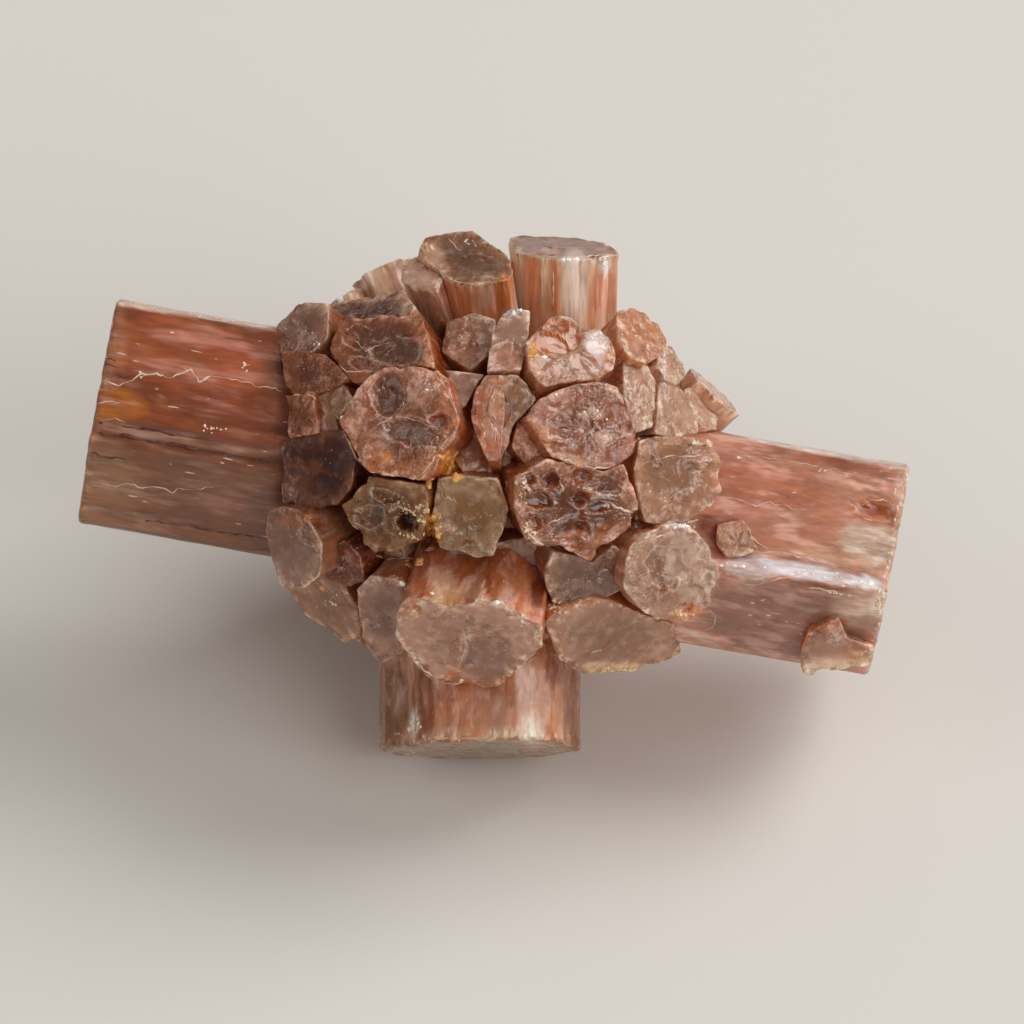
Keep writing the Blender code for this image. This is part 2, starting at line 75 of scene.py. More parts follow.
cluster = {
    "lean": 45.0,             # how far the front view leans back, degrees
    "reach": 14.3,            # centre to the tips of the short crystals
    "coreRadius": 8.5,
    "baseReach": 16.5,
    "baseAcross": 12.4,
    "rimRound": 0.16,         # worn edge round a tip
    "prismRound": 0.42,       # the same on the long prisms
    "chamfer": 0.16,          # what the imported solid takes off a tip's edge
    "prismChamfer": 0.35,
    "rootShrink": 0.8,
    "edgeShrink": 0.95,
    "rootLength": 10.5,
    "backSeed": 14,
    "skinSeed": 5,
    "backReach": (13.4, 15.4),
    "backAcross": (6.0, 10.4),
    "backThin": (0.8, 1.0),
    "backWobble": 0.12,
    "backTries": 700,
    "backClear": 0.80,
    "hiddenFrom": -0.2,
    "fillReach": (11.6, 12.7),
    "fillAcross": (3.2, 4.8),
    "fillWobble": 0.2,
    "fillTries": 150,
    "fillCrowd": 0.7,
    "fillClear": 34.0,
    "leftSlope": 9.95,
    "rightSlope": 9.9,
    "footTilt": 7.7,
    "spacing": 0.25,          # grid step on the front crystals
    "backSpacing": 0.34,
    "shown": {"left": 15.0, "right": 15.0, "foot": 9.0},
    "shownElse": 4.5,         # how far down its sides a short crystal shows
    "rowStretch": (1.15, 2.0),  # rows are this much wider than columns, on short crystals and on long prisms
    "deepStep": 1.1,          # row step further down a crystal, where its neighbours hide it
    "cornerBlur": 0.07,       # rounding of the upright edges
    "faces": 196000,          # triangles of the finished stone
}

# How far a crystal of the back may reach in the front view: (degrees from the right, millimetres)
hiddenLimit = [
    (0, 15.0), (12, 14.5), (24, 13.2), (30, 12.4), (45, 12.0), (52, 11.4), (60, 12.2), (75, 13.0), (90, 12.8),
    (110, 13.2), (130, 13.4), (150, 15.0), (200, 15.0), (240, 14.4), (300, 14.4), (360, 15.0),
]

# The long prisms: tip, and cross-section as (up, towards the viewer), or (right, towards) on the foot
longPrisms = {
    "left": {
        "tip": (-25.0, 0.0, 3.1), "length": 27.0, "endSlant": 0.0, "skin": "longLeft",
        "section": [
            (7.05, 3.3), (6.7, 4.3), (-0.3, 7.7), (-0.8, 7.3),
            (-1.5, 7.3), (-1.9, 7.6), (-6.8, 4.4), (-7.15, 3.5),
            (-7.15, -3.6), (-2.6, -7.2), (-1.2, -6.9), (0.3, -7.6), (6.6, -4.4), (7.05, -3.2),
        ],
    },
    "right": {
        "tip": (24.25, 0.0, -6.65), "length": 27.0, "endSlant": 0.025, "skin": "longRight",
        "section": [
            (6.5, 3.2), (6.15, 4.1), (5.0, 4.9), (-0.6, 6.7), (-1.9, 7.8), (-6.3, 4.7), (-6.9, 3.7),
            (-6.9, -3.4), (-3.0, -6.6), (-2.2, -6.3), (0.4, -7.4), (6.2, -4.2), (6.5, -3.3),
        ],
    },
    "foot": {
        "tip": (-1.3, -1.4, -18.05), "length": 20.0, "endSlant": 0.0, "skin": "foot",
        "section": [
            (-6.35, -1.4), (-5.9, 0.9), (-4.4, 1.9), (-3.9, 3.4),
            (-2.8, 4.3), (2.1, 5.7), (4.5, 4.8), (5.3, 3.4),
            (5.6, 1.0), (6.3, 0.4), (6.4, -1.5), (3.9, -4.9), (3.0, -4.7), (-2.3, -5.7), (-5.4, -3.6),
        ],
    },
}

# The front crystals: the outline of each tip as (right, up) in the front view
frontCrystals = {
    "tallTopLeft": {"skin": "greyBrown", "slant": 57, "depth": 5.0, "root": 0.97, "clear": True,
        "outline": [
        (-5.3, 12.9), (-4.7, 13.9), (-3.3, 14.3), (-1.9, 14.5), (-0.2, 13.3), (0.5, 12.8), (0.8, 11.8),
        (0.5, 11.2), (-1.9, 10.8), (-2.8, 10.9), (-3.5, 11.5), (-4.5, 12.3)]},
    "sideOfTopLeft": {"skin": "palePink", "slant": 57, "depth": 4.6, "root": 0.97, "outline": [
        (-6.1, 12.2), (-5.3, 12.8), (-4.4, 12.2), (-3.5, 11.4), (-3.9, 10.4), (-5.4, 10.6),
        (-6.2, 11.2)]},
    "tallTop": {"skin": "streaked", "depth": 3.6, "way": (0.01, -0.242, 0.97), "root": 1.0, "clear": True,
        "outline": [
        (0.5, 13.4), (0.6, 13.9), (1.4, 14.1), (4.7, 13.9), (6.4, 13.6), (7.3, 13.1), (7.4, 12.8),
        (6.0, 12.5), (3.5, 12.4), (2.2, 12.6), (1.0, 12.9)]},
    "upperLeft": {"skin": "redBrown", "outline": [
        (-10.2, 8.7), (-7.5, 9.0), (-4.9, 8.8), (-4.4, 7.5), (-4.0, 5.6), (-6.2, 5.5), (-8.1, 4.8),
        (-9.0, 4.7), (-9.9, 5.5), (-10.6, 6.9)]},
    "behindUpperLeft": {"skin": "darkRed", "depth": 6.4, "outline": [
        (-10.9, 9.7), (-8.2, 10.2), (-6.1, 10.7), (-5.2, 9.4), (-6.5, 8.3), (-9.3, 8.0), (-10.9, 8.6)]},
    "midLeft": {"skin": "pittedRose", "depth": 13.4, "outline": [
        (-10.0, 2.5), (-9.2, 3.7), (-7.8, 5.6), (-5.4, 5.7), (-3.9, 5.5), (-3.3, 4.9), (-2.5, 2.2),
        (-2.9, 1.2), (-3.6, 0.4), (-4.1, -0.8), (-5.0, -1.3), (-7.9, -0.9), (-8.7, -0.2), (-9.3, 1.0)]},
    "centreLeftHalf": {"skin": "rose", "depth": 14.2, "slant": 20, "outline": [
        (-1.9, 3.1), (-1.4, 4.5), (-0.9, 5.2), (0.3, 5.2), (0.3, 2.6), (0.0, -0.1), (-0.8, -0.1),
        (-1.6, 1.9)]},
    "centreRightHalf": {"skin": "greyBrown", "depth": 14.0, "slant": 16, "outline": [
        (-0.1, 5.2), (1.1, 5.2), (1.9, 4.4), (2.3, 3.7), (1.4, 2.6), (0.8, 2.1), (0.6, 1.0), (0.0, -0.2),
        (-0.3, 2.6)]},
    "paleWedge": {"skin": "lilac", "depth": 12.7, "slant": 12, "outline": [
        (-3.4, 5.5), (-0.9, 5.2), (-1.4, 4.5), (-2.1, 3.2), (-2.6, 3.0), (-3.1, 4.4)]},
    "upperBlock": {"skin": "lilac", "depth": 12.0, "slant": 34, "outline": [
        (-0.8, 5.4), (-0.5, 7.8), (0.2, 9.0), (1.1, 9.3), (1.9, 9.2), (1.8, 7.6), (1.3, 5.4)]},
    "stemOfUpperBlock": {"skin": "greyViolet", "depth": 10.4, "slant": 40, "outline": [
        (-3.6, 6.6), (-3.3, 8.6), (-1.6, 9.1), (-0.2, 8.7), (-0.5, 6.6), (-1.9, 5.5)]},
    "upperRight": {"skin": "orangeRose", "depth": 12.0, "slant": 36, "outline": [
        (1.6, 7.2), (2.3, 7.9), (3.3, 8.9), (4.4, 8.8), (5.2, 8.1), (6.2, 8.2), (6.9, 7.4), (7.2, 6.5),
        (7.0, 5.5), (6.2, 5.0), (3.6, 4.7), (2.8, 4.4), (1.8, 5.6)]},
    "rightOfCentre": {"skin": "rose", "depth": 13.6, "outline": [
        (1.6, 2.6), (2.5, 3.7), (3.5, 4.2), (5.0, 4.7), (6.4, 4.8), (7.4, 4.4), (8.2, 2.5), (8.5, 1.3),
        (8.3, 0.4), (7.0, -0.6), (5.6, -0.7), (4.0, -0.2), (3.1, 0.2), (2.3, 1.6)]},
    "orangeSide": {"skin": "orange", "depth": 13.2, "slant": 14, "outline": [
        (1.1, 2.3), (2.3, 2.5), (3.2, 0.4), (3.4, -0.5), (1.8, -0.6), (0.7, 0.7)]},
    "darkPitted": {"skin": "pittedDark", "depth": 13.8, "outline": [
        (0.9, -1.1), (1.6, -0.8), (2.9, 0.0), (6.5, -0.8), (7.6, -0.3), (8.3, -1.9), (8.6, -2.8),
        (8.3, -4.2), (7.5, -4.7), (6.2, -5.7), (5.7, -6.4), (3.9, -5.5), (2.5, -5.4), (1.6, -5.0),
        (0.9, -3.1)]},
    "greyRight": {"skin": "greyBrown", "depth": 10.8, "slant": 32, "outline": [
        (8.7, 1.1), (9.7, 1.4), (11.3, 1.4), (13.2, 1.2), (13.8, -0.3), (13.5, -1.2), (13.8, -1.9),
        (13.2, -2.8), (11.8, -3.9), (10.0, -4.1), (9.0, -3.9), (8.5, -2.2), (8.3, -0.6)]},
    "upperRightRim": {"skin": "orangeRose", "depth": 8.4, "outline": [
        (7.3, 9.2), (8.2, 9.5), (9.2, 9.1), (10.0, 8.4), (10.5, 7.5), (10.2, 6.6), (9.2, 6.0), (8.2, 6.3),
        (7.5, 7.2)]},
    "rightRim": {"skin": "palePink", "depth": 6.4, "slant": 58, "outline": [
        (10.1, 7.2), (10.8, 7.1), (11.5, 6.0), (11.6, 5.2), (11.1, 4.6), (10.2, 5.0), (9.8, 6.1)]},
    "underRightRim": {"skin": "palePink", "depth": 9.8, "slant": 44, "outline": [
        (7.6, 6.2), (9.1, 6.0), (9.8, 4.6), (9.5, 2.0), (8.4, 1.6), (7.7, 3.6)]},
    "besideRightRim": {"skin": "palePink", "depth": 8.2, "slant": 50, "outline": [
        (9.9, 4.8), (11.2, 4.6), (12.4, 2.9), (12.3, 1.6), (10.6, 1.2), (9.6, 1.6)]},
    "greySmooth": {"skin": "greyViolet", "depth": 11.2, "outline": [
        (2.7, -6.9), (3.3, -5.7), (4.7, -5.9), (5.7, -6.4), (7.0, -5.3), (7.6, -5.7), (8.0, -6.4),
        (7.5, -8.1), (6.5, -8.6), (5.0, -9.0), (4.7, -9.7), (3.6, -9.6), (2.9, -8.0)]},
    "dustyLowerRight": {"skin": "dusty", "depth": 10.3, "slant": 36, "outline": [
        (7.8, -6.2), (8.2, -5.3), (8.8, -4.7), (10.5, -4.0), (11.8, -4.1), (12.9, -5.3), (13.6, -6.9),
        (13.8, -7.8), (13.0, -9.0), (12.3, -9.8), (11.3, -10.1), (10.0, -10.1), (8.7, -9.4),
        (7.7, -8.0)]},
    "bigBottom": {"skin": "lilacBrown", "depth": 11.4, "slant": 50, "root": 0.92, "outline": [
        (-6.5, -10.9), (-6.4, -9.5), (-5.9, -8.8), (-4.7, -8.6), (-3.4, -8.9), (-2.2, -9.0), (-1.2, -8.6),
        (0.0, -8.8), (1.4, -9.7), (2.6, -10.3), (2.6, -11.7), (1.2, -13.0), (-0.2, -14.1), (-1.9, -14.1),
        (-4.4, -13.6), (-5.2, -12.8), (-6.2, -11.4)]},
    "greenGrey": {"skin": "greenGrey", "depth": 13.2, "outline": [
        (-3.9, -1.2), (-2.0, -1.0), (-0.1, -1.2), (0.6, -3.1), (0.1, -4.8), (-0.4, -6.0), (-1.4, -6.1),
        (-3.7, -5.5), (-4.2, -3.7), (-4.0, -2.5)]},
    "brownGreen": {"skin": "brownGreen", "depth": 12.0, "outline": [
        (-9.9, -2.9), (-9.2, -2.4), (-8.2, -1.1), (-6.5, -1.3), (-4.7, -1.6), (-4.4, -2.5), (-4.7, -4.4),
        (-5.0, -5.3), (-7.8, -6.0), (-8.6, -5.0), (-9.3, -4.0)]},
    "darkLeft": {"skin": "darkBrown", "depth": 9.6, "slant": 36, "outline": [
        (-13.5, 1.2), (-11.6, 1.6), (-9.6, 1.9), (-8.8, 0.2), (-9.2, -1.9), (-10.2, -2.9), (-12.0, -3.1),
        (-13.5, -2.7)]},
    "smallLeft": {"skin": "redBrown", "depth": 9.0, "slant": 40, "outline": [
        (-13.3, 3.9), (-11.6, 4.3), (-11.3, 1.6), (-13.1, 1.3)]},
    "paleBrownLeft": {"skin": "greyBrown", "depth": 9.8, "slant": 38, "outline": [
        (-11.4, 4.0), (-9.9, 5.0), (-9.0, 3.6), (-10.1, 2.4), (-9.9, 1.6), (-11.1, 1.2)]},
    "upperLeftEdge": {"skin": "greyViolet", "depth": 5.4, "slant": 50, "outline": [
        (-14.0, 8.4), (-12.5, 9.8), (-11.6, 9.8), (-10.6, 9.7), (-10.7, 7.6), (-11.8, 6.4),
        (-13.7, 6.6)]},
    "leftShoulder": {"skin": "darkRed", "depth": 7.8, "slant": 46, "outline": [
        (-13.7, 6.7), (-12.6, 6.9), (-10.8, 6.5), (-9.4, 5.0), (-10.6, 4.3), (-12.5, 3.7), (-13.4, 4.6)]},
    "paleLowerLeft": {"skin": "lilac", "depth": 8.9, "slant": 44, "outline": [
        (-14.5, -4.4), (-14.3, -3.2), (-13.5, -2.9), (-12.5, -3.1), (-11.8, -3.6), (-10.9, -5.3),
        (-11.1, -7.2), (-12.1, -8.0), (-13.5, -8.1), (-14.2, -6.2)]},
    "lowerLeftEdge": {"skin": "greyBrown", "depth": 5.2, "slant": 52, "outline": [
        (-13.5, -8.1), (-12.2, -7.9), (-10.6, -7.2), (-9.7, -7.8), (-8.9, -9.4), (-8.7, -11.0),
        (-9.6, -11.6), (-12.1, -9.9)]},
    "brownLowerLeft": {"skin": "darkBrown", "depth": 8.8, "slant": 44, "outline": [
        (-11.0, -5.6), (-9.6, -5.0), (-8.6, -6.0), (-8.3, -7.6), (-9.6, -8.0), (-10.9, -7.4)]},
    "bottomLeft": {"skin": "greyViolet", "depth": 8.9, "slant": 46, "outline": [
        (-8.9, -8.1), (-8.0, -7.2), (-6.4, -7.4), (-5.4, -8.2), (-5.6, -9.6), (-6.0, -12.0),
        (-7.6, -12.8), (-8.6, -10.9)]},
    "bottomRight": {"skin": "greyBrown", "depth": 7.0, "slant": 54, "outline": [
        (2.8, -10.3), (3.2, -9.7), (4.9, -9.0), (6.2, -8.6), (7.5, -9.0), (10.0, -10.1), (11.2, -10.3),
        (11.4, -11.3), (11.3, -12.2), (9.4, -13.0), (7.2, -13.4), (5.0, -13.4), (3.7, -12.4)]},
    "recessedCentre": {"skin": "greyViolet", "depth": 10.6, "slant": 30, "outline": [
        (-0.4, -5.2), (1.8, -4.8), (3.0, -5.6), (3.0, -8.4), (1.6, -8.9), (-0.2, -7.0)]},
    "onRightPrism": {"skin": "greyBrown", "depth": 7.7, "way": (0.16, -0.96, -0.08), "length": 5.0,
        "outline": [
        (13.4, -4.0), (15.0, -3.7), (15.5, -4.4), (16.0, -5.6), (15.0, -6.0), (14.0, -6.1),
        (13.3, -5.3)]},
    "lumpOnRightPrism": {"skin": "peach", "depth": 6.2, "way": (0.05, -0.86, -0.5), "length": 5.0,
        "root": 0.9, "outline": [
        (18.6, -11.6), (19.0, -10.7), (20.9, -9.8), (21.4, -11.0), (23.2, -11.7), (22.9, -12.8),
        (20.9, -13.1), (19.6, -13.2), (19.2, -13.5), (18.7, -13.3), (18.5, -12.6)]},
}

# Crystals that only show their sides: tip, the way it points, width and thickness
edgeCrystals = {
    "paleBehindTop": {"skin": "palePink", "tip": (-7.4, 3.4, 11.9), "way": (-0.42, 0.16, 0.89),
        "across": 5.2, "thick": 4.2},
    "paleStep": {"skin": "palePink", "tip": (-9.9, 1.6, 10.2), "way": (-0.52, 0.1, 0.85),
        "across": 3.0, "thick": 3.2},
    "paleRight": {"skin": "palePink", "tip": (13.4, -1.2, 4.4), "way": (0.7, -0.16, 0.69),
        "across": 3.3, "thick": 4.6},
    "rightShoulder": {"skin": "palePink", "tip": (12.6, -3.2, 3.2), "way": (0.72, -0.42, 0.55),
        "across": 3.4, "thick": 4.0},
}

# How uneven a crystal's rim is: turn and cut of its corners in degrees, and its size
hexagon = {"turn": 7.0, "cut": (8.0, 12.0), "size": (0.93, 1.07)}

# Relief of each kind of crystal, in millimetres, and its colours as seen on a screen, 0 to 255.
# hills: broken facets across the tip; sectors: grooves where twins meet; pits: share of the tip that is
# pitted; ledges: steps along the sides; grooves: their striations; chips: broken bits of the rim;
# deep: colour of its clear middle; cap: of its tip; side: of its sides; pale: of its crushed edges
skinColumns = ("hills", "sectors", "pits", "ledges", "grooves", "chips", "deep", "cap", "side", "pale")
skins = {
    "longLeft": (0.08, 0.0, 0.0, 0.05, 0.02, 0.25, (140, 98, 80), (170, 130, 108), (164, 102, 78),
                 (226, 184, 156)),
    "longRight": (0.08, 0.0, 0.0, 0.04, 0.02, 0.35, (160, 120, 104), (200, 170, 150), (186, 137, 122),
                  (236, 206, 192)),
    "foot": (0.08, 0.0, 0.0, 0.1, 0.05, 0.25, (140, 118, 92), (150, 132, 104), (166, 122, 100),
             (226, 194, 168)),
    "streaked": (0.06, 0.0, 0.0, 0.12, 0.06, 0.2, (172, 86, 46), (178, 92, 52), (204, 156, 126),
                 (240, 218, 198)),
    "greyBrown": (0.2, 0.08, 0.0, 0.08, 0.03, 0.35, (130, 104, 90), (160, 126, 108), (172, 118, 88),
                  (222, 188, 162)),
    "greyViolet": (0.12, 0.03, 0.0, 0.08, 0.03, 0.3, (122, 98, 92), (148, 120, 112), (140, 98, 80),
                   (212, 182, 166)),
    "lilac": (0.1, 0.03, 0.0, 0.08, 0.03, 0.3, (146, 122, 116), (172, 144, 134), (166, 124, 104),
              (226, 204, 190)),
    "lilacBrown": (0.14, 0.06, 0.0, 0.12, 0.05, 0.45, (140, 112, 102), (172, 138, 124), (150, 96, 74),
                   (228, 192, 168)),
    "rose": (0.26, 0.1, 0.08, 0.1, 0.04, 0.45, (136, 90, 70), (174, 116, 94), (192, 132, 108),
             (230, 190, 170)),
    "orangeRose": (0.24, 0.08, 0.08, 0.1, 0.04, 0.45, (166, 116, 90), (190, 136, 110), (198, 142, 112),
                   (236, 202, 176)),
    "orange": (0.12, 0.04, 0.0, 0.08, 0.03, 0.3, (150, 98, 68), (190, 130, 100), (178, 110, 74),
               (230, 180, 144)),
    "palePink": (0.12, 0.03, 0.0, 0.1, 0.04, 0.3, (178, 146, 128), (200, 166, 146), (196, 156, 134),
                 (236, 212, 194)),
    "redBrown": (0.24, 0.16, 0.08, 0.1, 0.04, 0.4, (84, 52, 36), (132, 84, 62), (128, 74, 50),
                 (212, 164, 136)),
    "darkRed": (0.22, 0.08, 0.0, 0.1, 0.04, 0.4, (92, 58, 42), (130, 84, 66), (118, 68, 46),
                (206, 146, 112)),
    # darkBrown: on darkLeft its darkness is partly painted shade
    "darkBrown": (0.14, 0.04, 0.0, 0.1, 0.04, 0.25, (86, 38, 10), (104, 52, 20), (96, 46, 16),
                  (150, 104, 76)),
    "pittedRose": (0.22, 0.12, 0.1, 0.1, 0.04, 0.6, (114, 78, 58), (174, 118, 92), (160, 100, 76),
                   (236, 198, 176)),
    "pittedDark": (0.22, 0.04, 0.16, 0.1, 0.04, 0.6, (98, 64, 48), (152, 102, 80), (140, 86, 64),
                   (232, 190, 168)),
    "dusty": (0.26, 0.06, 0.1, 0.1, 0.04, 0.5, (146, 116, 104), (182, 150, 134), (178, 130, 104),
              (242, 222, 206)),
    "greenGrey": (0.14, 0.0, 0.06, 0.08, 0.03, 0.35, (116, 96, 72), (146, 126, 104), (134, 94, 58),
                  (206, 184, 152)),
    "brownGreen": (0.26, 0.08, 0.14, 0.1, 0.04, 0.45, (84, 62, 40), (124, 94, 68), (112, 72, 42),
                   (206, 172, 126)),
    "peach": (0.16, 0.0, 0.0, 0.1, 0.03, 0.45, (196, 156, 130), (206, 168, 142), (188, 132, 96),
              (232, 200, 172)),
}
skins = {name: dict(zip(skinColumns, row)) for name, row in skins.items()}
backSkins = ["greyBrown", "lilac", "rose", "redBrown", "orangeRose", "palePink", "greyViolet", "pittedRose"]

# Hollows broken into single crystals: right, up, half length, half width, turn in degrees, depth.
# A depth below nought is a flake that stands proud.
hollows = {
    "midLeft": [(-6.8, 4.0, 1.55, 0.95, 80, 0.45), (-5.4, 1.6, 1.75, 0.85, -12, 0.35),
                (-3.7, 2.3, 0.65, 0.5, 0, 0.35), (-7.5, 0.8, 0.9, 0.5, 35, 0.16)],
    "darkPitted": [(1.9, -1.3, 0.36, 0.34, 0, 0.5), (2.4, -2.55, 0.95, 0.5, -8, 0.6),
                   (3.15, -1.3, 0.55, 0.55, 20, 0.5), (4.86, -2.75, 0.38, 0.34, 0, 0.45),
                   (6.15, -2.95, 0.8, 0.38, 10, 0.5), (2.2, -4.0, 0.42, 0.5, 0, 0.4),
                   (4.5, -4.4, 1.2, 0.7, 10, 0.2), (6.4, -1.6, 1.2, 0.6, -12, 0.2)],
    "brownGreen": [(-5.8, -3.85, 0.55, 0.62, 20, 0.9), (-8.0, -3.5, 0.9, 0.7, 0, 0.25),
                   (-6.9, -2.3, 1.0, 0.4, -20, 0.3)],
    "upperRight": [(3.5, 7.5, 1.45, 1.2, 0, 0.24), (5.9, 7.1, 0.7, 0.8, 0, -0.12)],
    "rightOfCentre": [(4.4, 2.2, 1.5, 1.0, 12, 0.2), (7.2, 2.5, 0.9, 1.2, 0, 0.16),
                      (6.3, 1.2, 0.6, 0.45, 0, -0.3)],
    "upperLeft": [(-6.4, 6.6, 1.5, 0.9, 0, 0.25), (-8.8, 7.5, 0.9, 0.7, 0, 0.3),
                  (-8.4, 5.8, 0.9, 0.4, -20, 0.2)],
    "bigBottom": [(-0.7, -12.2, 1.7, 1.3, 25, 0.12), (-5.1, -9.3, 0.3, 0.3, 0, 0.35),
                  (1.1, -10.8, 0.9, 1.1, 0, 0.12), (-3.2, -10.7, 1.2, 1.3, 0, 0.1)],
    "greyRight": [(10.5, -0.9, 1.7, 1.6, 0, 0.14), (12.3, 0.4, 0.9, 0.5, -8, 0.14)],
    "dustyLowerRight": [(10.2, -6.6, 1.2, 1.3, 20, 0.22), (11.5, -9.3, 0.5, 0.3, 0, 0.3),
                        (12.4, -7.4, 0.7, 1.0, 0, 0.14)],
    "greenGrey": [(-2.1, -3.2, 1.2, 1.5, 0, 0.1)],
    "greySmooth": [(3.3, -9.1, 0.28, 0.28, 0, 0.3)],
    "tallTopLeft": [(-1.4, 12.2, 1.2, 0.5, -10, 0.12), (-3.7, 13.0, 1.0, 0.7, 20, 0.14)],
    "upperBlock": [(0.6, 6.3, 1.2, 0.8, 0, 0.22)],
    "right": [(23.2, -3.2, 1.3, 0.6, -10, 0.4), (15.6, -6.65, 1.5, 0.7, -4, -0.16),
              (19.4, -7.1, 3.7, 0.42, -10, -0.12)],
    "left": [(-24.2, 4.6, 1.3, 0.35, -10, 0.1), (-21.9, 3.7, 1.2, 0.25, -10, 0.07)],
}


def newCrystal(name, skin, tip, way, **own):
    # A crystal ends in its tip's rim and points a way; most crystals share the other sizes
    middle = sum(tip, Vector()) / len(tip)
    radius = sum((point - middle).length for point in tip) / len(tip)
    usual = {"length": cluster["rootLength"], "root": cluster["rootShrink"], "rounding": cluster["rimRound"],
             "spacing": cluster["spacing"]}
    return {"name": name, "skin": skin, "tip": tip, "way": way, "middle": middle, "radius": radius,
            **usual, **own}


def frontCrystal(name, spec):
    # The drawn outline is carried along the line of sight onto the tip's own plane
    outline = spec["outline"]
    right = sum(point[0] for point in outline) / len(outline)
    up = sum(point[1] for point in outline) / len(outline)
    aside = math.hypot(right, up)
    depth = spec.get("depth", math.sqrt(max(cluster["reach"] ** 2 - aside**2, 0.0)))
    slant = math.radians(spec["slant"]) if "slant" in spec else math.atan2(aside, depth)
    way = Vector((right / aside * math.sin(slant), -math.cos(slant), up / aside * math.sin(slant)))
    if "way" in spec:
        way = Vector(spec["way"]).normalized()
    tip = [Vector((x, -depth + (way.x * (x - right) + way.z * (z - up)) / -way.y, z)) for x, z in outline]
    own = {key: spec[key] for key in ("length", "root") if key in spec}
    return newCrystal(name, spec["skin"], tip, way, **own)


def prismDirections(name):
    # The way a long prism points, and the direction of its cross-section's first number
    if name == "foot":
        tilt = math.radians(cluster["footTilt"])
        return Vector((0.0, -math.sin(tilt), -math.cos(tilt))), Vector((1.0, 0.0, 0.0))
    slope = math.radians(cluster[name + "Slope"])
    side = Vector((math.sin(slope), 0.0, math.cos(slope)))
    way = Vector((math.cos(slope), 0.0, -math.sin(slope)))
    return (-way if name == "left" else way), side


def longPrism(name, spec):
    way, side = prismDirections(name)
    towards = way.cross(side)
    if towards.y > 0:
        towards = -towards
    tip = [Vector(spec["tip"]) + side * a + towards * b + way * a * spec["endSlant"]
           for a, b in spec["section"]]
    return newCrystal(name, spec["skin"], tip, way, length=spec["length"], root=1.0,
                      rounding=cluster["prismRound"])


def sixSided(rng, middle, way, across, thick):
    # An uneven hexagon round `way`, two of its corners cut
    side = way.orthogonal().normalized()
    side.rotate(Matrix.Rotation(rng.uniform(0.0, math.pi), 3, way))
    other = way.cross(side)
    cut = rng.sample(range(6), 2)
    tip = []
    for corner in range(6):
        turn = math.radians(60 * corner + rng.uniform(-hexagon["turn"], hexagon["turn"]))
        size = rng.uniform(*hexagon["size"])
        spread = math.radians(rng.uniform(*hexagon["cut"])) if corner in cut else 0.0
        for angle in ((turn - spread, turn + spread) if spread else (turn,)):
            place = side * math.cos(angle) * across + other * math.sin(angle) * thick
            tip.append(middle + place * size / 2)
    return tip


def edgeCrystal(rng, name, spec):
    way = Vector(spec["way"]).normalized()
    tip = sixSided(rng, Vector(spec["tip"]), way, spec["across"], spec["thick"])
    return newCrystal(name, spec["skin"], tip, way, root=cluster["edgeShrink"])


def baseCrystal():
    # The crystal that the stone rests on: it points straight down once the stone leans back
    lean = math.radians(cluster["lean"])
    way = Vector((0.0, math.sin(lean), -math.cos(lean)))
    side = Vector((1.0, 0.0, 0.0))
    other = way.cross(side)
    corners = [math.radians(60 * corner) for corner in range(6)]
    half = cluster["baseAcross"] / 2
    tip = [way * cluster["baseReach"] + (side * math.cos(t) + other * math.sin(t)) * half for t in corners]
    return newCrystal("base", "greyViolet", tip, way, length=cluster["baseReach"],
                      spacing=cluster["backSpacing"])


def evenDirections(count):
    # Directions spread evenly over the sphere, along a spiral
    golden = math.pi * (3.0 - math.sqrt(5.0))
    for i in range(count):
        up = 1.0 - (2.0 * i + 1.0) / count
        ring = math.sqrt(1.0 - up * up)
        yield Vector((math.cos(golden * i) * ring, math.sin(golden * i) * ring, up))


def overshoot(tip):
    # How far a tip's rim shows past the limit in the front view
    angles, limits = zip(*hiddenLimit)
    past = []
    for point in tip:
        angle = math.degrees(math.atan2(point.z, point.x)) % 360.0
        past.append(math.hypot(point.x, point.z) - float(np.interp(angle, angles, limits)))
    return max(past)


def drawnSizes(rng, kind):
    # The reach, the width and a small push aside of a hidden crystal, drawn in this order
    push = cluster[kind + "Wobble"]
    return (rng.uniform(*cluster[kind + "Reach"]), rng.uniform(*cluster[kind + "Across"]),
            Vector([rng.uniform(-push, push) for _ in range(3)]))


def backCrystals(rng, skinRng, taken, clear):
    # Each place of the spiral holds a crystal if its neighbours leave it room; low ones then fill the gaps
    made = []

    def grow(kind, tip, way):
        made.append(newCrystal(f"{kind}{len(made):02d}", skinRng.choice(backSkins), tip, way,
                               spacing=cluster["backSpacing"]))

    for direction in evenDirections(cluster["backTries"]):
        reach, across, push = drawnSizes(rng, "back")
        half = math.atan2(across / 2, reach)
        crowded = any(direction.angle(way) < cluster["backClear"] * (half + room) for way, room in taken)
        if crowded or direction.y < cluster["hiddenFrom"]:
            continue
        taken.append((direction, half))
        way = (direction + push).normalized()
        tip = sixSided(rng, direction * reach, way, across, across * rng.uniform(*cluster["backThin"]))
        lower = way * max(overshoot(tip), 0.0)
        grow("back", [point - lower for point in tip], way)
    for direction in evenDirections(cluster["fillTries"]):
        reach, across, push = drawnSizes(rng, "fill")
        crowded = any(direction.angle(way) < cluster["fillCrowd"] * room for way, room in taken)
        if crowded or any(direction.angle(way) < math.radians(cluster["fillClear"]) for way in clear):
            continue
        way = (direction + push).normalized()
        tip = sixSided(rng, direction * reach, way, across, across)
        if overshoot(tip) <= 0.0:
            grow("fill", tip, way)
    return made


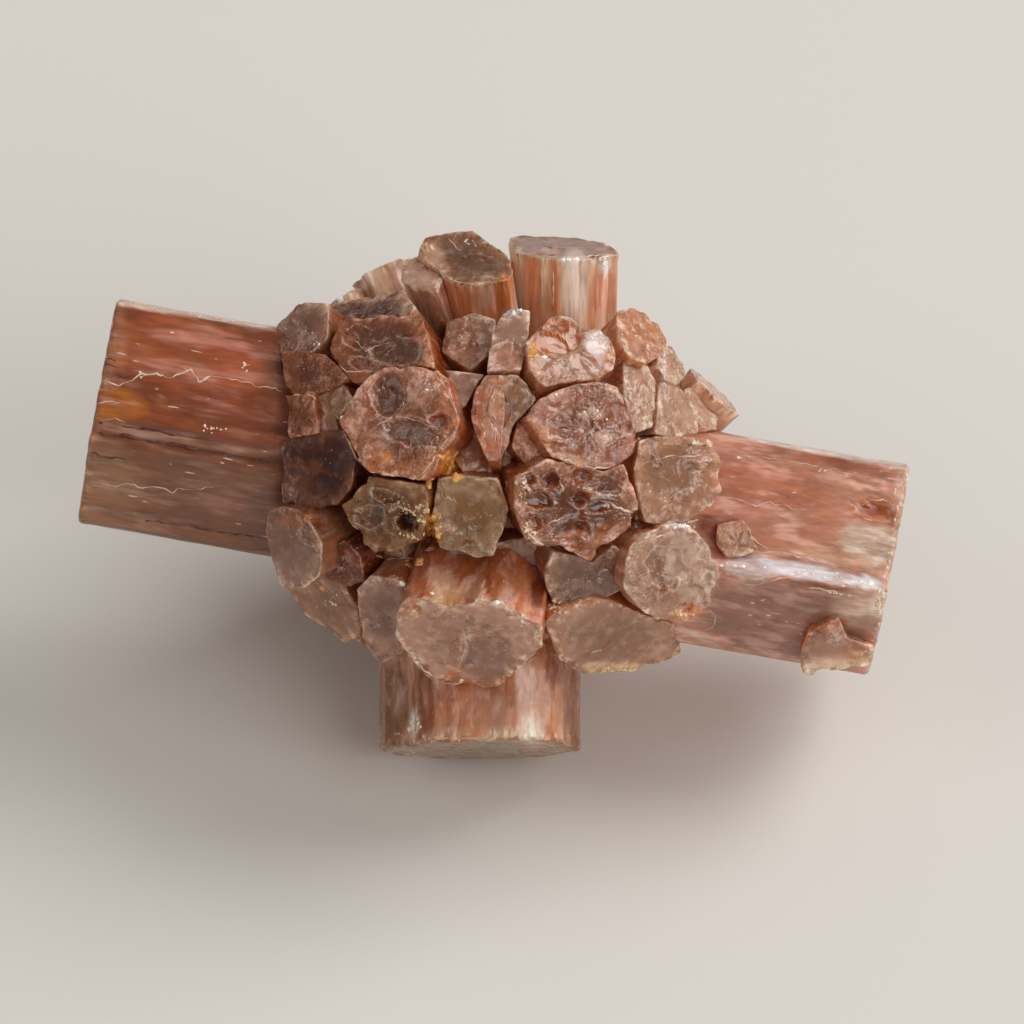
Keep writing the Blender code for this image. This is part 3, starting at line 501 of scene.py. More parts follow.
def allCrystals():
    rng = random.Random(cluster["backSeed"])
    made = [longPrism(name, spec) for name, spec in longPrisms.items()] + [baseCrystal()]
    made += [frontCrystal(name, spec) for name, spec in frontCrystals.items()]
    made += [edgeCrystal(rng, name, spec) for name, spec in edgeCrystals.items()]
    taken = []
    for c in made:
        chamfer = cluster["prismChamfer" if c["name"] in longPrisms else "chamfer"]
        taken.append((c["middle"].normalized(), math.atan2(c["radius"] - chamfer, c["middle"].length)))
    clear = [way for (way, _), c in zip(taken, made) if frontCrystals.get(c["name"], {}).get("clear")]
    return made + backCrystals(rng, random.Random(cluster["skinSeed"]), taken, clear)


crystals = allCrystals()
print(len(crystals), "crystals laid out")


def latticeValue(cell, seed):
    # A fixed random value, 0 to 1, for each whole-number place
    mixed = cell.astype(np.int64).astype(np.uint32) * np.array([73856093, 19349663, 83492791], np.uint32)
    mixed = mixed[..., 0] ^ mixed[..., 1] ^ mixed[..., 2] ^ np.uint32(seed * 2654435 % 2**32)
    for shift, factor in ((16, 2246822519), (13, 3266489917)):
        mixed = (mixed ^ (mixed >> np.uint32(shift))) * np.uint32(factor)
    return (mixed >> np.uint32(8)) / 2.0**24


def eased(share):
    # 3t^2 - 2t^3
    return share * share * (3.0 - 2.0 * share)


def placesOf(x, y, z):
    # Three coordinates side by side, each an array or one number
    return np.stack(np.broadcast_arrays(x, y, z), axis=-1)


def noiseField(places, seed):
    # Value noise, -1 to 1: lattice values mixed across each cell with the weight 3t^2 - 2t^3 on every axis
    cell = np.floor(places)
    share = eased(places - cell)
    total = 0.0
    for corner in np.ndindex(2, 2, 2):
        weight = np.prod(np.where(corner, share, 1.0 - share), axis=-1)
        total = total + weight * latticeValue(cell + corner, seed)
    return 2.0 * total - 1.0


def fractal(places, seed, octaves=3):
    # Noise added at doubled frequency and half strength each time
    total = sum(noiseField(places * 2.0**k + 17.3 * k, seed + k) / 2.0**k for k in range(octaves))
    return total / (2.0 - 2.0 ** (1 - octaves))


def terraces(value, steps, rise):
    # Turns a smooth value into flat steps: each step climbs only over its last `rise` share
    scaled = value * steps
    low = np.floor(scaled)
    return (low + eased(np.clip((scaled - low - 1.0 + rise) / rise, 0.0, 1.0))) / steps


# How the surface breaks up: sizes in millimetres, and shares of what a crystal's skin says
relief = {
    "hills": (0.5, 0.22, 0.6),        # shares of wide steps, fine steps and facets
    "facetSize": 2.1,
    "facetTilt": 1.3,
    "pitSize": 1.5,
    "pitDeep": 1.1,
    "twinSharpness": 18,
    "dents": 0.035,
    "wall": 0.22,                     # width of a hollow's wall, as a share of the hollow
    "lip": (0.05, 1.12, 0.12),        # height, place and width of its raised lip
    "ragged": (0.16, 0.07),           # unevenness of its edge, coarse and fine
    "chips": 0.7,
    "chipReach": 0.4,
    "capFade": 0.7,                   # how fast the relief of the tip dies away down the sides
}


def nearbyCells(u, v, seed, count):
    # The nine cells of a flat lattice round each place: how far the place lies from the cell's random point,
    # and `count` more random values of the cell
    for du, dv in np.ndindex(3, 3):
        cell = placesOf(np.floor(u) + du - 1, np.floor(v) + dv - 1, 0.0)
        yield (u - cell[..., 0] - latticeValue(cell, seed), v - cell[..., 1] - latticeValue(cell, seed + 1),
               [latticeValue(cell, seed + 2 + more) for more in range(count)])


def pitDepth(a, b, cellSize, share, seed):
    # Bowls: each cell of a flat lattice holds one, at a random place and of a random radius,
    # and its depth is the radius times the root of 1 - (distance / radius)^2
    deepest = np.zeros_like(a)
    for offU, offV, (wide, chance) in nearbyCells(a / cellSize, b / cellSize, seed, 2):
        radius = (0.12 + 0.30 * wide) * (chance < share)
        inside = np.clip(1.0 - (np.hypot(offU, offV) / np.maximum(radius, 1e-6)) ** 2, 0.0, None)
        deepest = np.maximum(deepest, radius * cellSize * np.sqrt(inside))
    return deepest


def facetPlanes(a, b, cellSize, seed):
    # Broken facets: each point takes the tilted plane of the nearest point of a jittered lattice
    warp = placesOf(a, b, 0.7 * seed) * 0.9
    u = a / cellSize + 0.22 * noiseField(warp, seed + 7)
    v = b / cellSize + 0.22 * noiseField(warp, seed + 8)
    nearest, planes, tilt = np.full_like(a, 9.0), np.zeros_like(a), relief["facetTilt"]
    for offU, offV, (level, tiltU, tiltV) in nearbyCells(u, v, seed, 3):
        plane = level + tilt * (tiltU - 0.5) * offU + tilt * (tiltV - 0.5) * offV
        away = np.hypot(offU, offV)
        planes = np.where(away < nearest, plane, planes)
        nearest = np.minimum(nearest, away)
    return planes


def evenRing(corners, spacing, blur):
    # The closed outline is walked in even steps; its corners are rounded with a bell curve, by Fourier sums
    closed = np.vstack([corners, corners[:1]])
    walked = np.concatenate([[0.0], np.cumsum(np.linalg.norm(np.diff(closed, axis=0), axis=1))])
    fine = 4 * max(int(round(walked[-1] / spacing)), 24)
    places = np.linspace(0.0, walked[-1], fine, endpoint=False)
    ring = np.stack([np.interp(places, walked, closed[:, i]) for i in range(3)], axis=1)
    bell = np.exp(-2.0 * (np.pi * np.fft.fftfreq(fine, walked[-1] / fine) * blur) ** 2)
    return np.real(np.fft.ifft(np.fft.fft(ring, axis=0) * bell[:, None], axis=0))[::4]


def crystalAxes(c):
    # The crystal's own directions: two across its tip and one along it
    way = np.array(c["way"])
    side = np.cross(way, (0.31, 0.17, 0.93))
    side /= np.linalg.norm(side)
    return side, np.cross(way, side), way


def turned(right, up, degrees):
    # A flat place after a turn: (x cos t + y sin t, y cos t - x sin t)
    cosine, sine = math.cos(math.radians(degrees)), math.sin(math.radians(degrees))
    return right * cosine + up * sine, up * cosine - right * sine


def hollowReach(right, up, hollow):
    # 1 on the hollow's edge, less inside: a turned, stretched hexagon, its edge made ragged with noise
    x, y, long, wide, turn, _ = hollow
    u, v = turned(right - x, up - y, turn)
    u, v = np.abs(u / long), np.abs(v / wide)
    uneven = placesOf(right, up, x)
    return (np.maximum(u, 0.5 * u + 0.866 * v) + relief["ragged"][0] * noiseField(uneven * 1.5, 71)
            + relief["ragged"][1] * noiseField(uneven * 4.0, 72))


def hollowDepth(name, right, up):
    # Each hollow has steep walls, a slightly rounded floor and a thin raised lip
    height, place, width = relief["lip"]
    total = np.zeros_like(right)
    for hollow in hollows.get(name, ()):
        reach = hollowReach(right, up, hollow)
        wall = eased(np.clip((1.04 - reach) / relief["wall"], 0.0, 1.0))
        total += hollow[5] * wall * (1.0 - 0.25 * np.clip(reach, 0.0, 1.0) ** 2)
        total -= height * np.exp(-(((reach - place) / width) ** 2))
    return total


def capRelief(a, b, c, skin, seed):
    # Depth below the flat tip: broken facets, narrow grooves on the lines where twins meet, and bowls
    flat = placesOf(a, b, 3.7 * seed)
    steps = 0.5 - 0.5 * terraces(fractal(flat * 0.5, seed), 2.0, 0.22)
    fine = 0.5 - 0.5 * terraces(fractal(flat * 1.7, seed + 40, 2), 2.0, 0.3)
    facets = facetPlanes(a, b, relief["facetSize"], seed + 20)
    turn = np.arctan2(b, a) / (2.0 * np.pi)
    away = np.hypot(a, b) / c["radius"]
    wander = 0.08 * noiseField(flat * 1.3, seed + 60)
    lines = np.abs(np.cos(np.pi * 6.0 * (turn + wander + 0.13 * seed))) ** relief["twinSharpness"]
    wide, narrow, broken = relief["hills"]
    depth = skin["hills"] * (wide * steps + narrow * fine + broken * facets)
    depth = depth + skin["sectors"] * lines * np.clip(away * 2.0 - 0.2, 0.0, 1.0)
    if skin["pits"]:
        pits = relief["pitDeep"] * pitDepth(a, b, relief["pitSize"], skin["pits"], seed + 80)
        depth = depth + pits * np.clip(3.5 - 4.0 * away, 0.0, 1.0)
    return depth


def sideRelief(a, b, down, skin, seed):
    # Depth below the plain sides: steps and striations run along the crystal, so `down` hardly changes them
    steps = fractal(placesOf(a * 0.6, b * 0.6, down * 0.04), seed + 100, 2)
    grooves = (1.0 - np.abs(noiseField(placesOf(a * 2.4, b * 2.4, down * 0.04), seed + 120))) ** 5
    dents = noiseField(placesOf(a * 0.8, b * 0.8, down * 0.6), seed + 140)
    return (skin["ledges"] * (0.5 - 0.5 * terraces(steps, 3.0, 0.2)) + skin["grooves"] * grooves
            + relief["dents"] * (1.0 + dents))


def crystalSurface(c, seed):
    # A grid of rows and columns: columns run round the outline, rows climb from the root to the rim, round it
    # and close in over the tip. Each row is the outline times `size`, moved back along the crystal by `down`.
    skin, isLong = skins[c["skin"]], c["name"] in longPrisms
    side, other, way = crystalAxes(c)
    middle = np.array(c["middle"])
    corners = (np.array(c["tip"]) - middle) @ np.stack([side, other, way], axis=1)
    ring = evenRing(corners, c["spacing"], cluster["cornerBlur"])
    if np.sum(ring[:, 0] * np.roll(ring[:, 1], -1) - ring[:, 1] * np.roll(ring[:, 0], -1)) < 0:
        ring = ring[::-1]
    step, rounding, radius = c["spacing"], c["rounding"], c["radius"]
    shown = min(cluster["shown"].get(c["name"], cluster["shownElse"]), c["length"] - 0.5)
    deep = np.arange(c["length"], shown, -cluster["deepStep"])
    near = np.arange(shown, rounding + 0.6 * step, -step * cluster["rowStretch"][isLong])
    bend = np.radians([0.0, 25.0, 50.0, 75.0])
    inwards = np.linspace(1.0 - rounding / radius, 0.0, max(int(round(radius / step)), 3), endpoint=False)
    down = np.concatenate([deep, near, rounding * (1.0 - np.sin(bend)), np.zeros(len(inwards))])
    size = np.concatenate([1.0 + (c["root"] - 1.0) * (np.concatenate([deep, near]) - rounding) / c["length"],
                           1.0 - rounding / radius * (1.0 - np.cos(bend)), inwards])
    a, b, lift = (size[:, None] * ring[None, :, axis] for axis in range(3))
    down = np.broadcast_to(down[:, None], a.shape)
    plain = middle + a[..., None] * side + b[..., None] * other + (lift - down)[..., None] * way
    out = np.stack([np.roll(ring[:, 1], -1) - np.roll(ring[:, 1], 1),
                    np.roll(ring[:, 0], 1) - np.roll(ring[:, 0], -1)])
    out /= np.linalg.norm(out, axis=0)
    facing = np.clip(-2.5 * (out[0] * side[1] + out[1] * other[1]), 0.0, 1.0)
    onSide = np.clip((down - 0.4 * rounding) / 0.5, 0.0, 1.0)
    onCap = np.exp(-down / relief["capFade"])
    fromRim = down + radius * np.clip(1.0 - size[:, None] - rounding / radius, 0.0, None)
    chipPlaces = placesOf(a, b, 0.6 * down + seed)
    chips = (np.clip(noiseField(chipPlaces * 1.1, seed + 160) - 0.2, 0.0, None)
             + 0.5 * np.clip(noiseField(chipPlaces * 2.4, seed + 161) - 0.1, 0.0, None))
    chips = relief["chips"] * skin["chips"] * chips * np.exp(-((fromRim / relief["chipReach"]) ** 2))
    broken = hollowDepth(c["name"], plain[..., 0], plain[..., 2])
    sunk = onSide * (sideRelief(a, b, down, skin, seed) + broken * facing * isLong)
    sunk = sunk + chips * np.clip(1.5 - fromRim, 0.0, 1.0)
    lowered = onCap * (capRelief(a, b, c, skin, seed) + broken * (not isLong)) + chips
    if c["name"] == "base":
        lowered = 0.0 * lowered
    return (plain - (sunk * out[0])[..., None] * side - (sunk * out[1])[..., None] * other
            - lowered[..., None] * way)


def gridFaces(rows, columns):
    # The triangles of a closed skin: quads between the rows, split in two, and a fan to a point at either end
    at = np.arange(rows * columns).reshape(rows, columns)
    nextAt = np.roll(at, -1, axis=1)
    low, lowNext, high, highNext = at[:-1], nextAt[:-1], at[1:], nextAt[1:]
    first, last = np.full(columns, rows * columns), np.full(columns, rows * columns + 1)
    return np.concatenate([np.stack([low, lowNext, highNext], -1).reshape(-1, 3),
                           np.stack([low, highNext, high], -1).reshape(-1, 3),
                           np.stack([first, nextAt[0], at[0]], -1),
                           np.stack([last, at[-1], nextAt[-1]], -1)])


def gridPoints(grid):
    # The points of that skin: those of the rows, then the middles of the first and the last row
    return np.vstack([grid.reshape(-1, 3), grid[0].mean(0), grid[-1].mean(0)])


def gridMesh(name, grid, index):
    mesh = bpy.data.meshes.new(name)
    mesh.from_pydata(gridPoints(grid), [], gridFaces(*grid.shape[:2]))
    marks = mesh.attributes.new("crystal", "INT", "FACE")
    marks.data.foreach_set("value", np.full(len(mesh.polygons), index))
    return mesh


def sphereGrid(radius, rows, columns):
    # Rows of latitude, without the poles: (sin t cos s, sin t sin s, -cos t) times the radius
    t, s = np.meshgrid(np.linspace(0.0, np.pi, rows + 2)[1:-1],
                       np.linspace(0.0, 2.0 * np.pi, columns, endpoint=False), indexing="ij")
    return radius * np.stack([np.sin(t) * np.cos(s), np.sin(t) * np.sin(s), -np.cos(t)], axis=-1)


def newObject(name, data):
    made = bpy.data.objects.new(name, data)
    bpy.context.scene.collection.objects.link(made)
    return made


def finishedMesh(piece):
    # The piece's mesh after its modifiers
    bpy.context.view_layer.update()
    return bpy.data.meshes.new_from_object(piece.evaluated_get(bpy.context.evaluated_depsgraph_get()))


def joinedStone():
    # Every crystal is joined to the core, and the result is thinned to its number of triangles
    spikes = bpy.data.collections.new("crystals")
    for index, c in enumerate(crystals):
        mesh = gridMesh(c["name"], crystalSurface(c, index + 1), index)
        spikes.objects.link(bpy.data.objects.new(c["name"], mesh))
    core = newObject("core", gridMesh("core", sphereGrid(cluster["coreRadius"], 14, 24), len(crystals)))
    join = core.modifiers.new("join", "BOOLEAN")
    join.operation = "UNION"
    join.operand_type = "COLLECTION"
    join.collection = spikes
    join.solver = "MANIFOLD"
    joined = finishedMesh(core)
    print(len(joined.polygons), "faces after joining")
    core.modifiers.clear()
    core.data = joined
    joined.calc_loop_triangles()
    thin = core.modifiers.new("thin", "DECIMATE")
    thin.ratio = min(cluster["faces"] / len(joined.loop_triangles), 1.0)
    thin.use_collapse_triangulate = True
    stone = finishedMesh(core)
    for obj in [core, *spikes.objects]:
        bpy.data.objects.remove(obj)
    bpy.data.collections.remove(spikes)
    return stone


stone = joinedStone()
print(len(stone.polygons), "triangles in the joined stone")

# What shows on single places of the front:
# (right, up, half length, half width, turn in degrees, colour, strength)
patches = [
    # foot: its clear end
    (-1.2, -18.2, 6.6, 0.7, -2, (156, 142, 122), 0.95),
    # left prism: smooth lower face
    (-19.9, -2.6, 9.5, 3.2, -10, (120, 87, 70), 0.85),
    (-24.6, -1.8, 2.4, 2.2, -10, (158, 130, 108), 0.6),
    (-24.0, -5.0, 3.0, 1.6, -10, (146, 108, 86), 0.5),
    # brown bands between its faces
    (-19.6, 0.95, 9.8, 0.26, -11, (104, 62, 44), 0.9),
    (-20.5, 2.1, 9.0, 0.16, -9, (126, 78, 56), 0.7),
    (-21.5, 1.55, 9.0, 0.2, -10, (186, 150, 134), 0.6),
    # golden end
    (-24.2, 3.4, 2.2, 1.1, -8, (172, 112, 60), 0.75),
    (-24.4, 7.2, 1.3, 1.8, -10, (160, 130, 112), 0.7),
    (-19.5, 6.6, 5.0, 2.0, -10, (186, 116, 88), 0.5),
    (-16.4, 5.6, 1.8, 1.9, -10, (176, 104, 88), 0.5),
    # its bright top edge, a painted highlight
    (-19.1, 9.05, 5.6, 0.2, -9, (236, 206, 190), 0.9),
    # right prism: pale top edge, a painted highlight
    (19.7, 0.66, 5.4, 0.26, -10.6, (226, 208, 202), 0.95),
    (20.0, -0.05, 5.0, 0.34, -11, (136, 84, 68), 0.8),
    (17.0, -1.7, 3.4, 1.2, -10, (186, 118, 102), 0.5),
    (15.5, -3.4, 2.2, 0.9, -10, (206, 150, 140), 0.6),
    (21.0, -1.9, 2.2, 0.7, -10, (204, 152, 136), 0.6),
    (19.0, -4.6, 3.0, 0.7, -10, (200, 148, 134), 0.5),
    (23.0, -5.3, 2.1, 1.2, -10, (228, 206, 188), 0.8),
    (20.5, -6.0, 2.6, 0.4, -10, (228, 184, 160), 0.7),
    (23.3, -3.2, 1.35, 0.65, -10, (176, 100, 50), 0.85),
    (22.9, -3.0, 0.6, 0.3, -10, (140, 66, 22), 0.8),
    # the bright broken strip: pale lilac-white stone with painted glints
    (15.5, -6.65, 1.6, 0.8, -4, (222, 204, 206), 0.9),
    (19.6, -7.1, 3.7, 0.45, -10, (250, 240, 252), 0.95),
    (22.6, -7.6, 0.55, 0.4, 0, (255, 255, 255), 0.95),
    (19.6, -7.72, 2.2, 0.12, -10, (96, 54, 46), 0.8),
    (17.6, -9.9, 5.4, 2.2, -10, (144, 117, 114), 0.85),
    (22.0, -9.2, 1.5, 1.1, -10, (198, 174, 160), 0.75),
    (23.5, -9.0, 0.4, 0.9, 0, (240, 222, 208), 0.85),
    (12.6, -11.1, 1.3, 0.16, -25, (206, 184, 172), 0.8),
    (12.6, -3.9, 0.5, 0.45, 0, (92, 62, 50), 0.7),
    # orange edge of the lump on it
    (19.0, -10.8, 0.25, 0.8, -30, (178, 106, 56), 0.8),
    (20.3, -10.2, 0.9, 0.25, 12, (176, 104, 54), 0.8),
    (22.0, -11.8, 0.8, 0.5, 0, (190, 128, 84), 0.5),
    # foot prism
    (-2.4, -15.2, 1.7, 2.3, 0, (184, 116, 70), 0.85),
    (-4.7, -14.7, 0.7, 1.8, 0, (120, 70, 48), 0.8),
    (-0.2, -14.9, 0.9, 2.0, 0, (168, 122, 92), 0.8),
    (1.1, -15.5, 0.5, 1.3, 0, (146, 92, 72), 0.7),
    (2.3, -15.2, 1.15, 2.6, 0, (226, 172, 146), 0.9),
    (1.9, -16.7, 0.7, 0.9, 0, (250, 224, 196), 0.9),
    (3.3, -16.6, 0.4, 0.8, 0, (216, 142, 96), 0.8),
    (-3.2, -16.9, 1.5, 0.25, 0, (224, 182, 150), 0.8),
    (0.2, -16.9, 0.8, 0.22, 0, (226, 204, 172), 0.8),
    (3.3, -13.2, 0.6, 0.8, 0, (126, 74, 58), 0.8),
    (-5.3, -16.3, 0.32, 0.65, 0, (240, 222, 204), 0.95),
    (4.7, -15.1, 0.6, 2.9, 0, (150, 124, 118), 0.9),
    (-6.7, -15.1, 1.0, 2.4, 0, (126, 100, 86), 0.9),
    (-6.2, -14.4, 0.35, 1.0, 20, (190, 170, 162), 0.6),
    # streaks of the tall crystals at the top
    (1.2, 10.9, 0.3, 2.2, 0, (232, 206, 184), 0.85),
    (2.1, 10.7, 0.4, 2.2, 0, (206, 142, 112), 0.85),
    (2.8, 10.9, 0.2, 2.2, 0, (222, 186, 156), 0.8),
    (3.4, 10.9, 0.25, 2.2, 0, (198, 132, 100), 0.8),
    (4.6, 10.8, 0.8, 2.2, 0, (232, 206, 186), 0.85),
    (6.4, 10.2, 0.75, 1.7, 0, (202, 138, 110), 0.85),
    # painted glints just under the rim
    (6.5, 12.05, 0.3, 0.55, 0, (252, 246, 240), 0.9),
    (4.3, 12.2, 0.55, 0.22, 0, (255, 250, 246), 0.9),
    (-4.0, 10.6, 0.8, 2.0, -8, (206, 164, 142), 0.7),
    (-0.9, 10.1, 0.5, 1.3, -8, (198, 172, 158), 0.75),
    (0.2, 10.3, 0.45, 1.2, -8, (202, 134, 94), 0.8),
    # pale crystals behind them
    (-7.6, 11.3, 2.2, 1.2, 25, (226, 186, 160), 0.85),
    (-10.0, 10.3, 1.2, 0.6, 20, (226, 190, 166), 0.8),
    (-4.9, 10.9, 1.0, 2.4, -14, (206, 168, 150), 0.85),
    # between them and the middle
    (-3.5, 6.9, 0.4, 1.4, 0, (120, 62, 30), 0.85),
    (-2.1, 7.3, 0.7, 1.2, 0, (156, 112, 92), 0.6),
    (0.8, 9.1, 0.6, 0.3, 0, (226, 214, 214), 0.8),
    (0.6, 6.2, 1.2, 0.9, 0, (182, 138, 122), 0.8),
    (-10.2, 10.1, 0.5, 0.4, 0, (240, 226, 216), 0.8),
    # pitted crystal left of the middle
    (-6.8, 4.0, 0.75, 1.35, -8, (96, 72, 62), 0.9),
    (-5.4, 1.6, 1.55, 0.7, -12, (112, 88, 80), 0.85),
    (-3.75, 2.4, 0.5, 0.45, 0, (120, 62, 44), 0.8),
    (-7.3, -0.2, 0.8, 0.7, 25, (212, 138, 96), 0.85),
    (-4.7, 4.2, 0.9, 0.9, 0, (204, 154, 136), 0.6),
    (-8.6, 2.4, 0.8, 1.1, 20, (196, 148, 126), 0.6),
    (-6.3, 6.5, 1.4, 0.9, 0, (116, 90, 78), 0.75),
    (-7.4, 8.0, 1.9, 0.6, 0, (102, 66, 50), 0.6),
    # the two halves of the middle crystal
    (-0.4, 2.7, 0.6, 2.0, 0, (198, 154, 134), 0.7),
    (1.2, 3.4, 0.9, 1.4, 0, (132, 108, 94), 0.8),
    (1.2, 0.6, 0.5, 0.9, 0, (146, 96, 60), 0.6),
    # the right half of the front
    (3.5, 7.5, 1.3, 1.05, 0, (178, 116, 80), 0.85),
    (5.9, 7.1, 0.65, 0.8, 0, (232, 214, 210), 0.85),
    (4.3, 5.5, 1.8, 0.6, 0, (176, 146, 136), 0.7),
    (6.3, 1.2, 0.5, 0.4, 0, (214, 176, 170), 0.85),
    (5.6, 2.7, 0.9, 0.3, 0, (224, 196, 184), 0.5),
    (2.2, 1.2, 0.7, 1.4, 25, (196, 132, 100), 0.7),
    (4.2, -0.05, 1.4, 0.3, -15, (226, 178, 152), 0.7),
    (5.0, -4.9, 1.6, 0.5, 0, (176, 122, 100), 0.6),
    (10.4, -0.8, 1.5, 1.4, 0, (138, 112, 98), 0.75),
    # painted shade of two dark slots between crystals
    (9.0, 1.35, 0.5, 0.12, 0, (84, 44, 28), 0.8),
    (9.2, -4.2, 0.8, 0.13, 0, (92, 50, 34), 0.8),
    # a white crust, partly a painted glint
    (11.0, -4.05, 0.9, 0.2, 0, (244, 236, 232), 0.8),
    (10.1, 5.5, 0.12, 1.4, 0, (240, 216, 204), 0.8),
    (9.3, 8.1, 1.6, 1.3, -30, (210, 154, 122), 0.5),
    (11.8, -6.6, 1.6, 2.0, 0, (206, 182, 168), 0.6),
    (11.4, -9.4, 0.9, 0.4, 10, (220, 146, 98), 0.85),
    # above the big bottom tip
    (-1.9, -6.8, 4.2, 0.8, 0, (156, 100, 76), 0.8),
    (-3.6, -7.2, 0.9, 0.6, -20, (216, 178, 160), 0.7),
    (-3.2, -8.3, 0.8, 0.7, 0, (226, 176, 136), 0.9),
    (-1.5, -8.0, 0.75, 0.9, 0, (220, 172, 148), 0.85),
    (0.9, -7.7, 0.8, 1.0, -30, (176, 126, 104), 0.7),
    (-0.7, -7.7, 0.25, 0.6, 0, (98, 54, 36), 0.8),
    (0.4, -8.5, 0.5, 0.4, 0, (182, 148, 146), 0.7),
    (-5.1, -9.3, 0.5, 0.45, 0, (212, 150, 100), 0.8),
    (-0.8, -12.2, 1.6, 1.2, 25, (134, 106, 100), 0.85),
    (-5.2, -11.0, 0.8, 0.8, 0, (190, 150, 132), 0.7),
    (-2.0, -11.3, 0.16, 0.9, -10, (218, 196, 184), 0.7),
    (-1.4, -9.9, 0.2, 0.5, 0, (208, 184, 172), 0.6),
    # cream underside of the bottom right crystal
    (7.8, -13.0, 2.6, 0.4, -4, (226, 186, 140), 0.9),
    # dark and brown crevices; the two darkest are painted shade, in a deep hollow and a shadowed recess
    (-5.8, -3.8, 0.5, 0.6, 20, (46, 34, 18), 0.9),
    (2.3, -8.2, 0.5, 0.8, 0, (74, 44, 32), 0.8),
    (0.3, -2.0, 0.4, 0.9, 0, (176, 110, 46), 0.8),
    (-12.4, -3.7, 1.3, 0.4, 0, (152, 92, 48), 0.6),
    # ochre clay
    (-3.0, -0.3, 0.6, 0.8, 0, (226, 150, 70), 0.8),
    (-4.0, -4.2, 0.4, 1.0, 5, (226, 158, 84), 0.85),
    (2.0, 6.5, 0.3, 0.6, 0, (226, 166, 104), 0.8),
]

# How much lighter than its skin a crystal is, on its tip and on its sides
# Partly painted light: sides that face down, away from the lamps, are made paler, and some tips darker
lighter = {
    "left": (0.8, 0.48), "right": (1.0, 1.05), "foot": (1.2, 1.7), "tallTop": (0.34, 1.7),
    "tallTopLeft": (0.6, 1.8), "bigBottom": (1.4, 1.8), "greyRight": (1.1, 1.2), "midLeft": (1.25, 1.2),
    "orangeSide": (1.6, 2.1), "dustyLowerRight": (0.88, 1.2), "bottomRight": (1.15, 1.3),
    # darkLeft is made darker as painted shade
    "darkLeft": (0.34, 0.5), "paleLowerLeft": (0.7, 0.8), "greenGrey": (1.15, 1.2),
    "upperBlock": (0.85, 0.9), "upperLeft": (1.5, 1.3), "rightOfCentre": (0.62, 1.1),
    "greySmooth": (0.54, 0.9), "darkPitted": (0.78, 1.0), "upperRight": (0.76, 1.0),
    "sideOfTopLeft": (1.4, 1.7), "lumpOnRightPrism": (1.6, 1.5), "rightRim": (0.87, 1.2),
    "besideRightRim": (0.9, 1.2), "underRightRim": (0.9, 1.1), "upperRightRim": (0.9, 1.2),
}

# How strongly a crystal's sides are streaked and how sugary its skin is, where they aren't the usual
streakiness = {
    "left": 0.8, "right": 0.7, "foot": 0.6, "tallTop": 0.9, "tallTopLeft": 0.85, "sideOfTopLeft": 0.8,
    "paleBehindTop": 0.8, "bigBottom": 0.4,
}
sugariness = {
    "left": 0.12, "right": 0.22, "foot": 0.15, "bigBottom": 0.08, "greyRight": 0.22, "greySmooth": 0.05,
    "bottomRight": 0.12, "greenGrey": 0.2, "paleWedge": 0.0, "upperBlock": 0.15, "centreLeftHalf": 0.1,
    "centreRightHalf": 0.1, "bottomLeft": 0.1, "paleLowerLeft": 0.1, "lowerLeftEdge": 0.2, "tallTop": 0.0,
    "tallTopLeft": 0.15, "sideOfTopLeft": 0.3, "upperLeft": 0.2, "onRightPrism": 0.1,
    "lumpOnRightPrism": 0.3, "darkLeft": 0.1, "upperRight": 0.35, "midLeft": 0.38,
    "stemOfUpperBlock": 0.1, "brownGreen": 0.35,
}


def screenTone(colour):
    # A screen colour, 0 to 255, as the linear values that a shader takes
    share = np.asarray(colour) / 255.0
    return np.where(share <= 0.04045, share / 12.92, ((share + 0.055) / 1.055) ** 2.4)


def readOut(items, key, kind=np.int32, width=1):
    # One number, or a row of them, from every item
    values = np.empty(len(items) * width, kind)
    items.foreach_get(key, values)
    return values if width == 1 else values.reshape(-1, width)


def cornerValues(mesh, name, kind, values):
    attribute = mesh.attributes.new(name, kind, "CORNER")
    key = {"FLOAT_VECTOR": "vector", "FLOAT_COLOR": "color"}[kind]
    attribute.data.foreach_set(key, np.ascontiguousarray(values, dtype=np.float32).ravel())


def seamDistance(mesh, points, owner, cornerEdge):
    # Distance of each point along the surface from the nearest line where two crystals meet:
    # zero on those lines, then the least of each neighbour's distance plus the edge between, over and over
    ends = readOut(mesh.edges, "vertices", width=2)
    lowest, highest = np.full(len(ends), 10**6), np.full(len(ends), -1)
    np.minimum.at(lowest, cornerEdge, owner)
    np.maximum.at(highest, cornerEdge, owner)
    away = np.full(len(points), 9.0)
    away[ends[lowest != highest].ravel()] = 0.0
    lengths = np.linalg.norm(points[ends[:, 0]] - points[ends[:, 1]], axis=1)
    for _ in range(9):
        np.minimum.at(away, ends[:, 0], away[ends[:, 1]] + lengths)
        np.minimum.at(away, ends[:, 1], away[ends[:, 0]] + lengths)
    return away


def rimDistance(local, owner, radii, axes):
    # Distance from the rim of the crystal's tip, measured across the tip and down the sides
    turn, outline = np.arctan2(local[:, 1], local[:, 0]), np.ones(len(owner))
    for index, c in enumerate(crystals):
        corners = (np.array(c["tip"]) - np.array(c["middle"])) @ axes[index].T
        ring = evenRing(corners, 0.3, cluster["cornerBlur"])
        angles = np.arctan2(ring[:, 1], ring[:, 0])
        order, mine = np.argsort(angles), owner == index
        outline[mine] = np.interp(turn[mine], angles[order], np.hypot(ring[:, 0], ring[:, 1])[order],
                                  period=2.0 * np.pi)
    inside = np.clip(1.0 - np.hypot(local[:, 0], local[:, 1]) / outline, 0.0, None) * radii[owner]
    return np.hypot(inside, np.clip(-local[:, 2], 0.0, None))


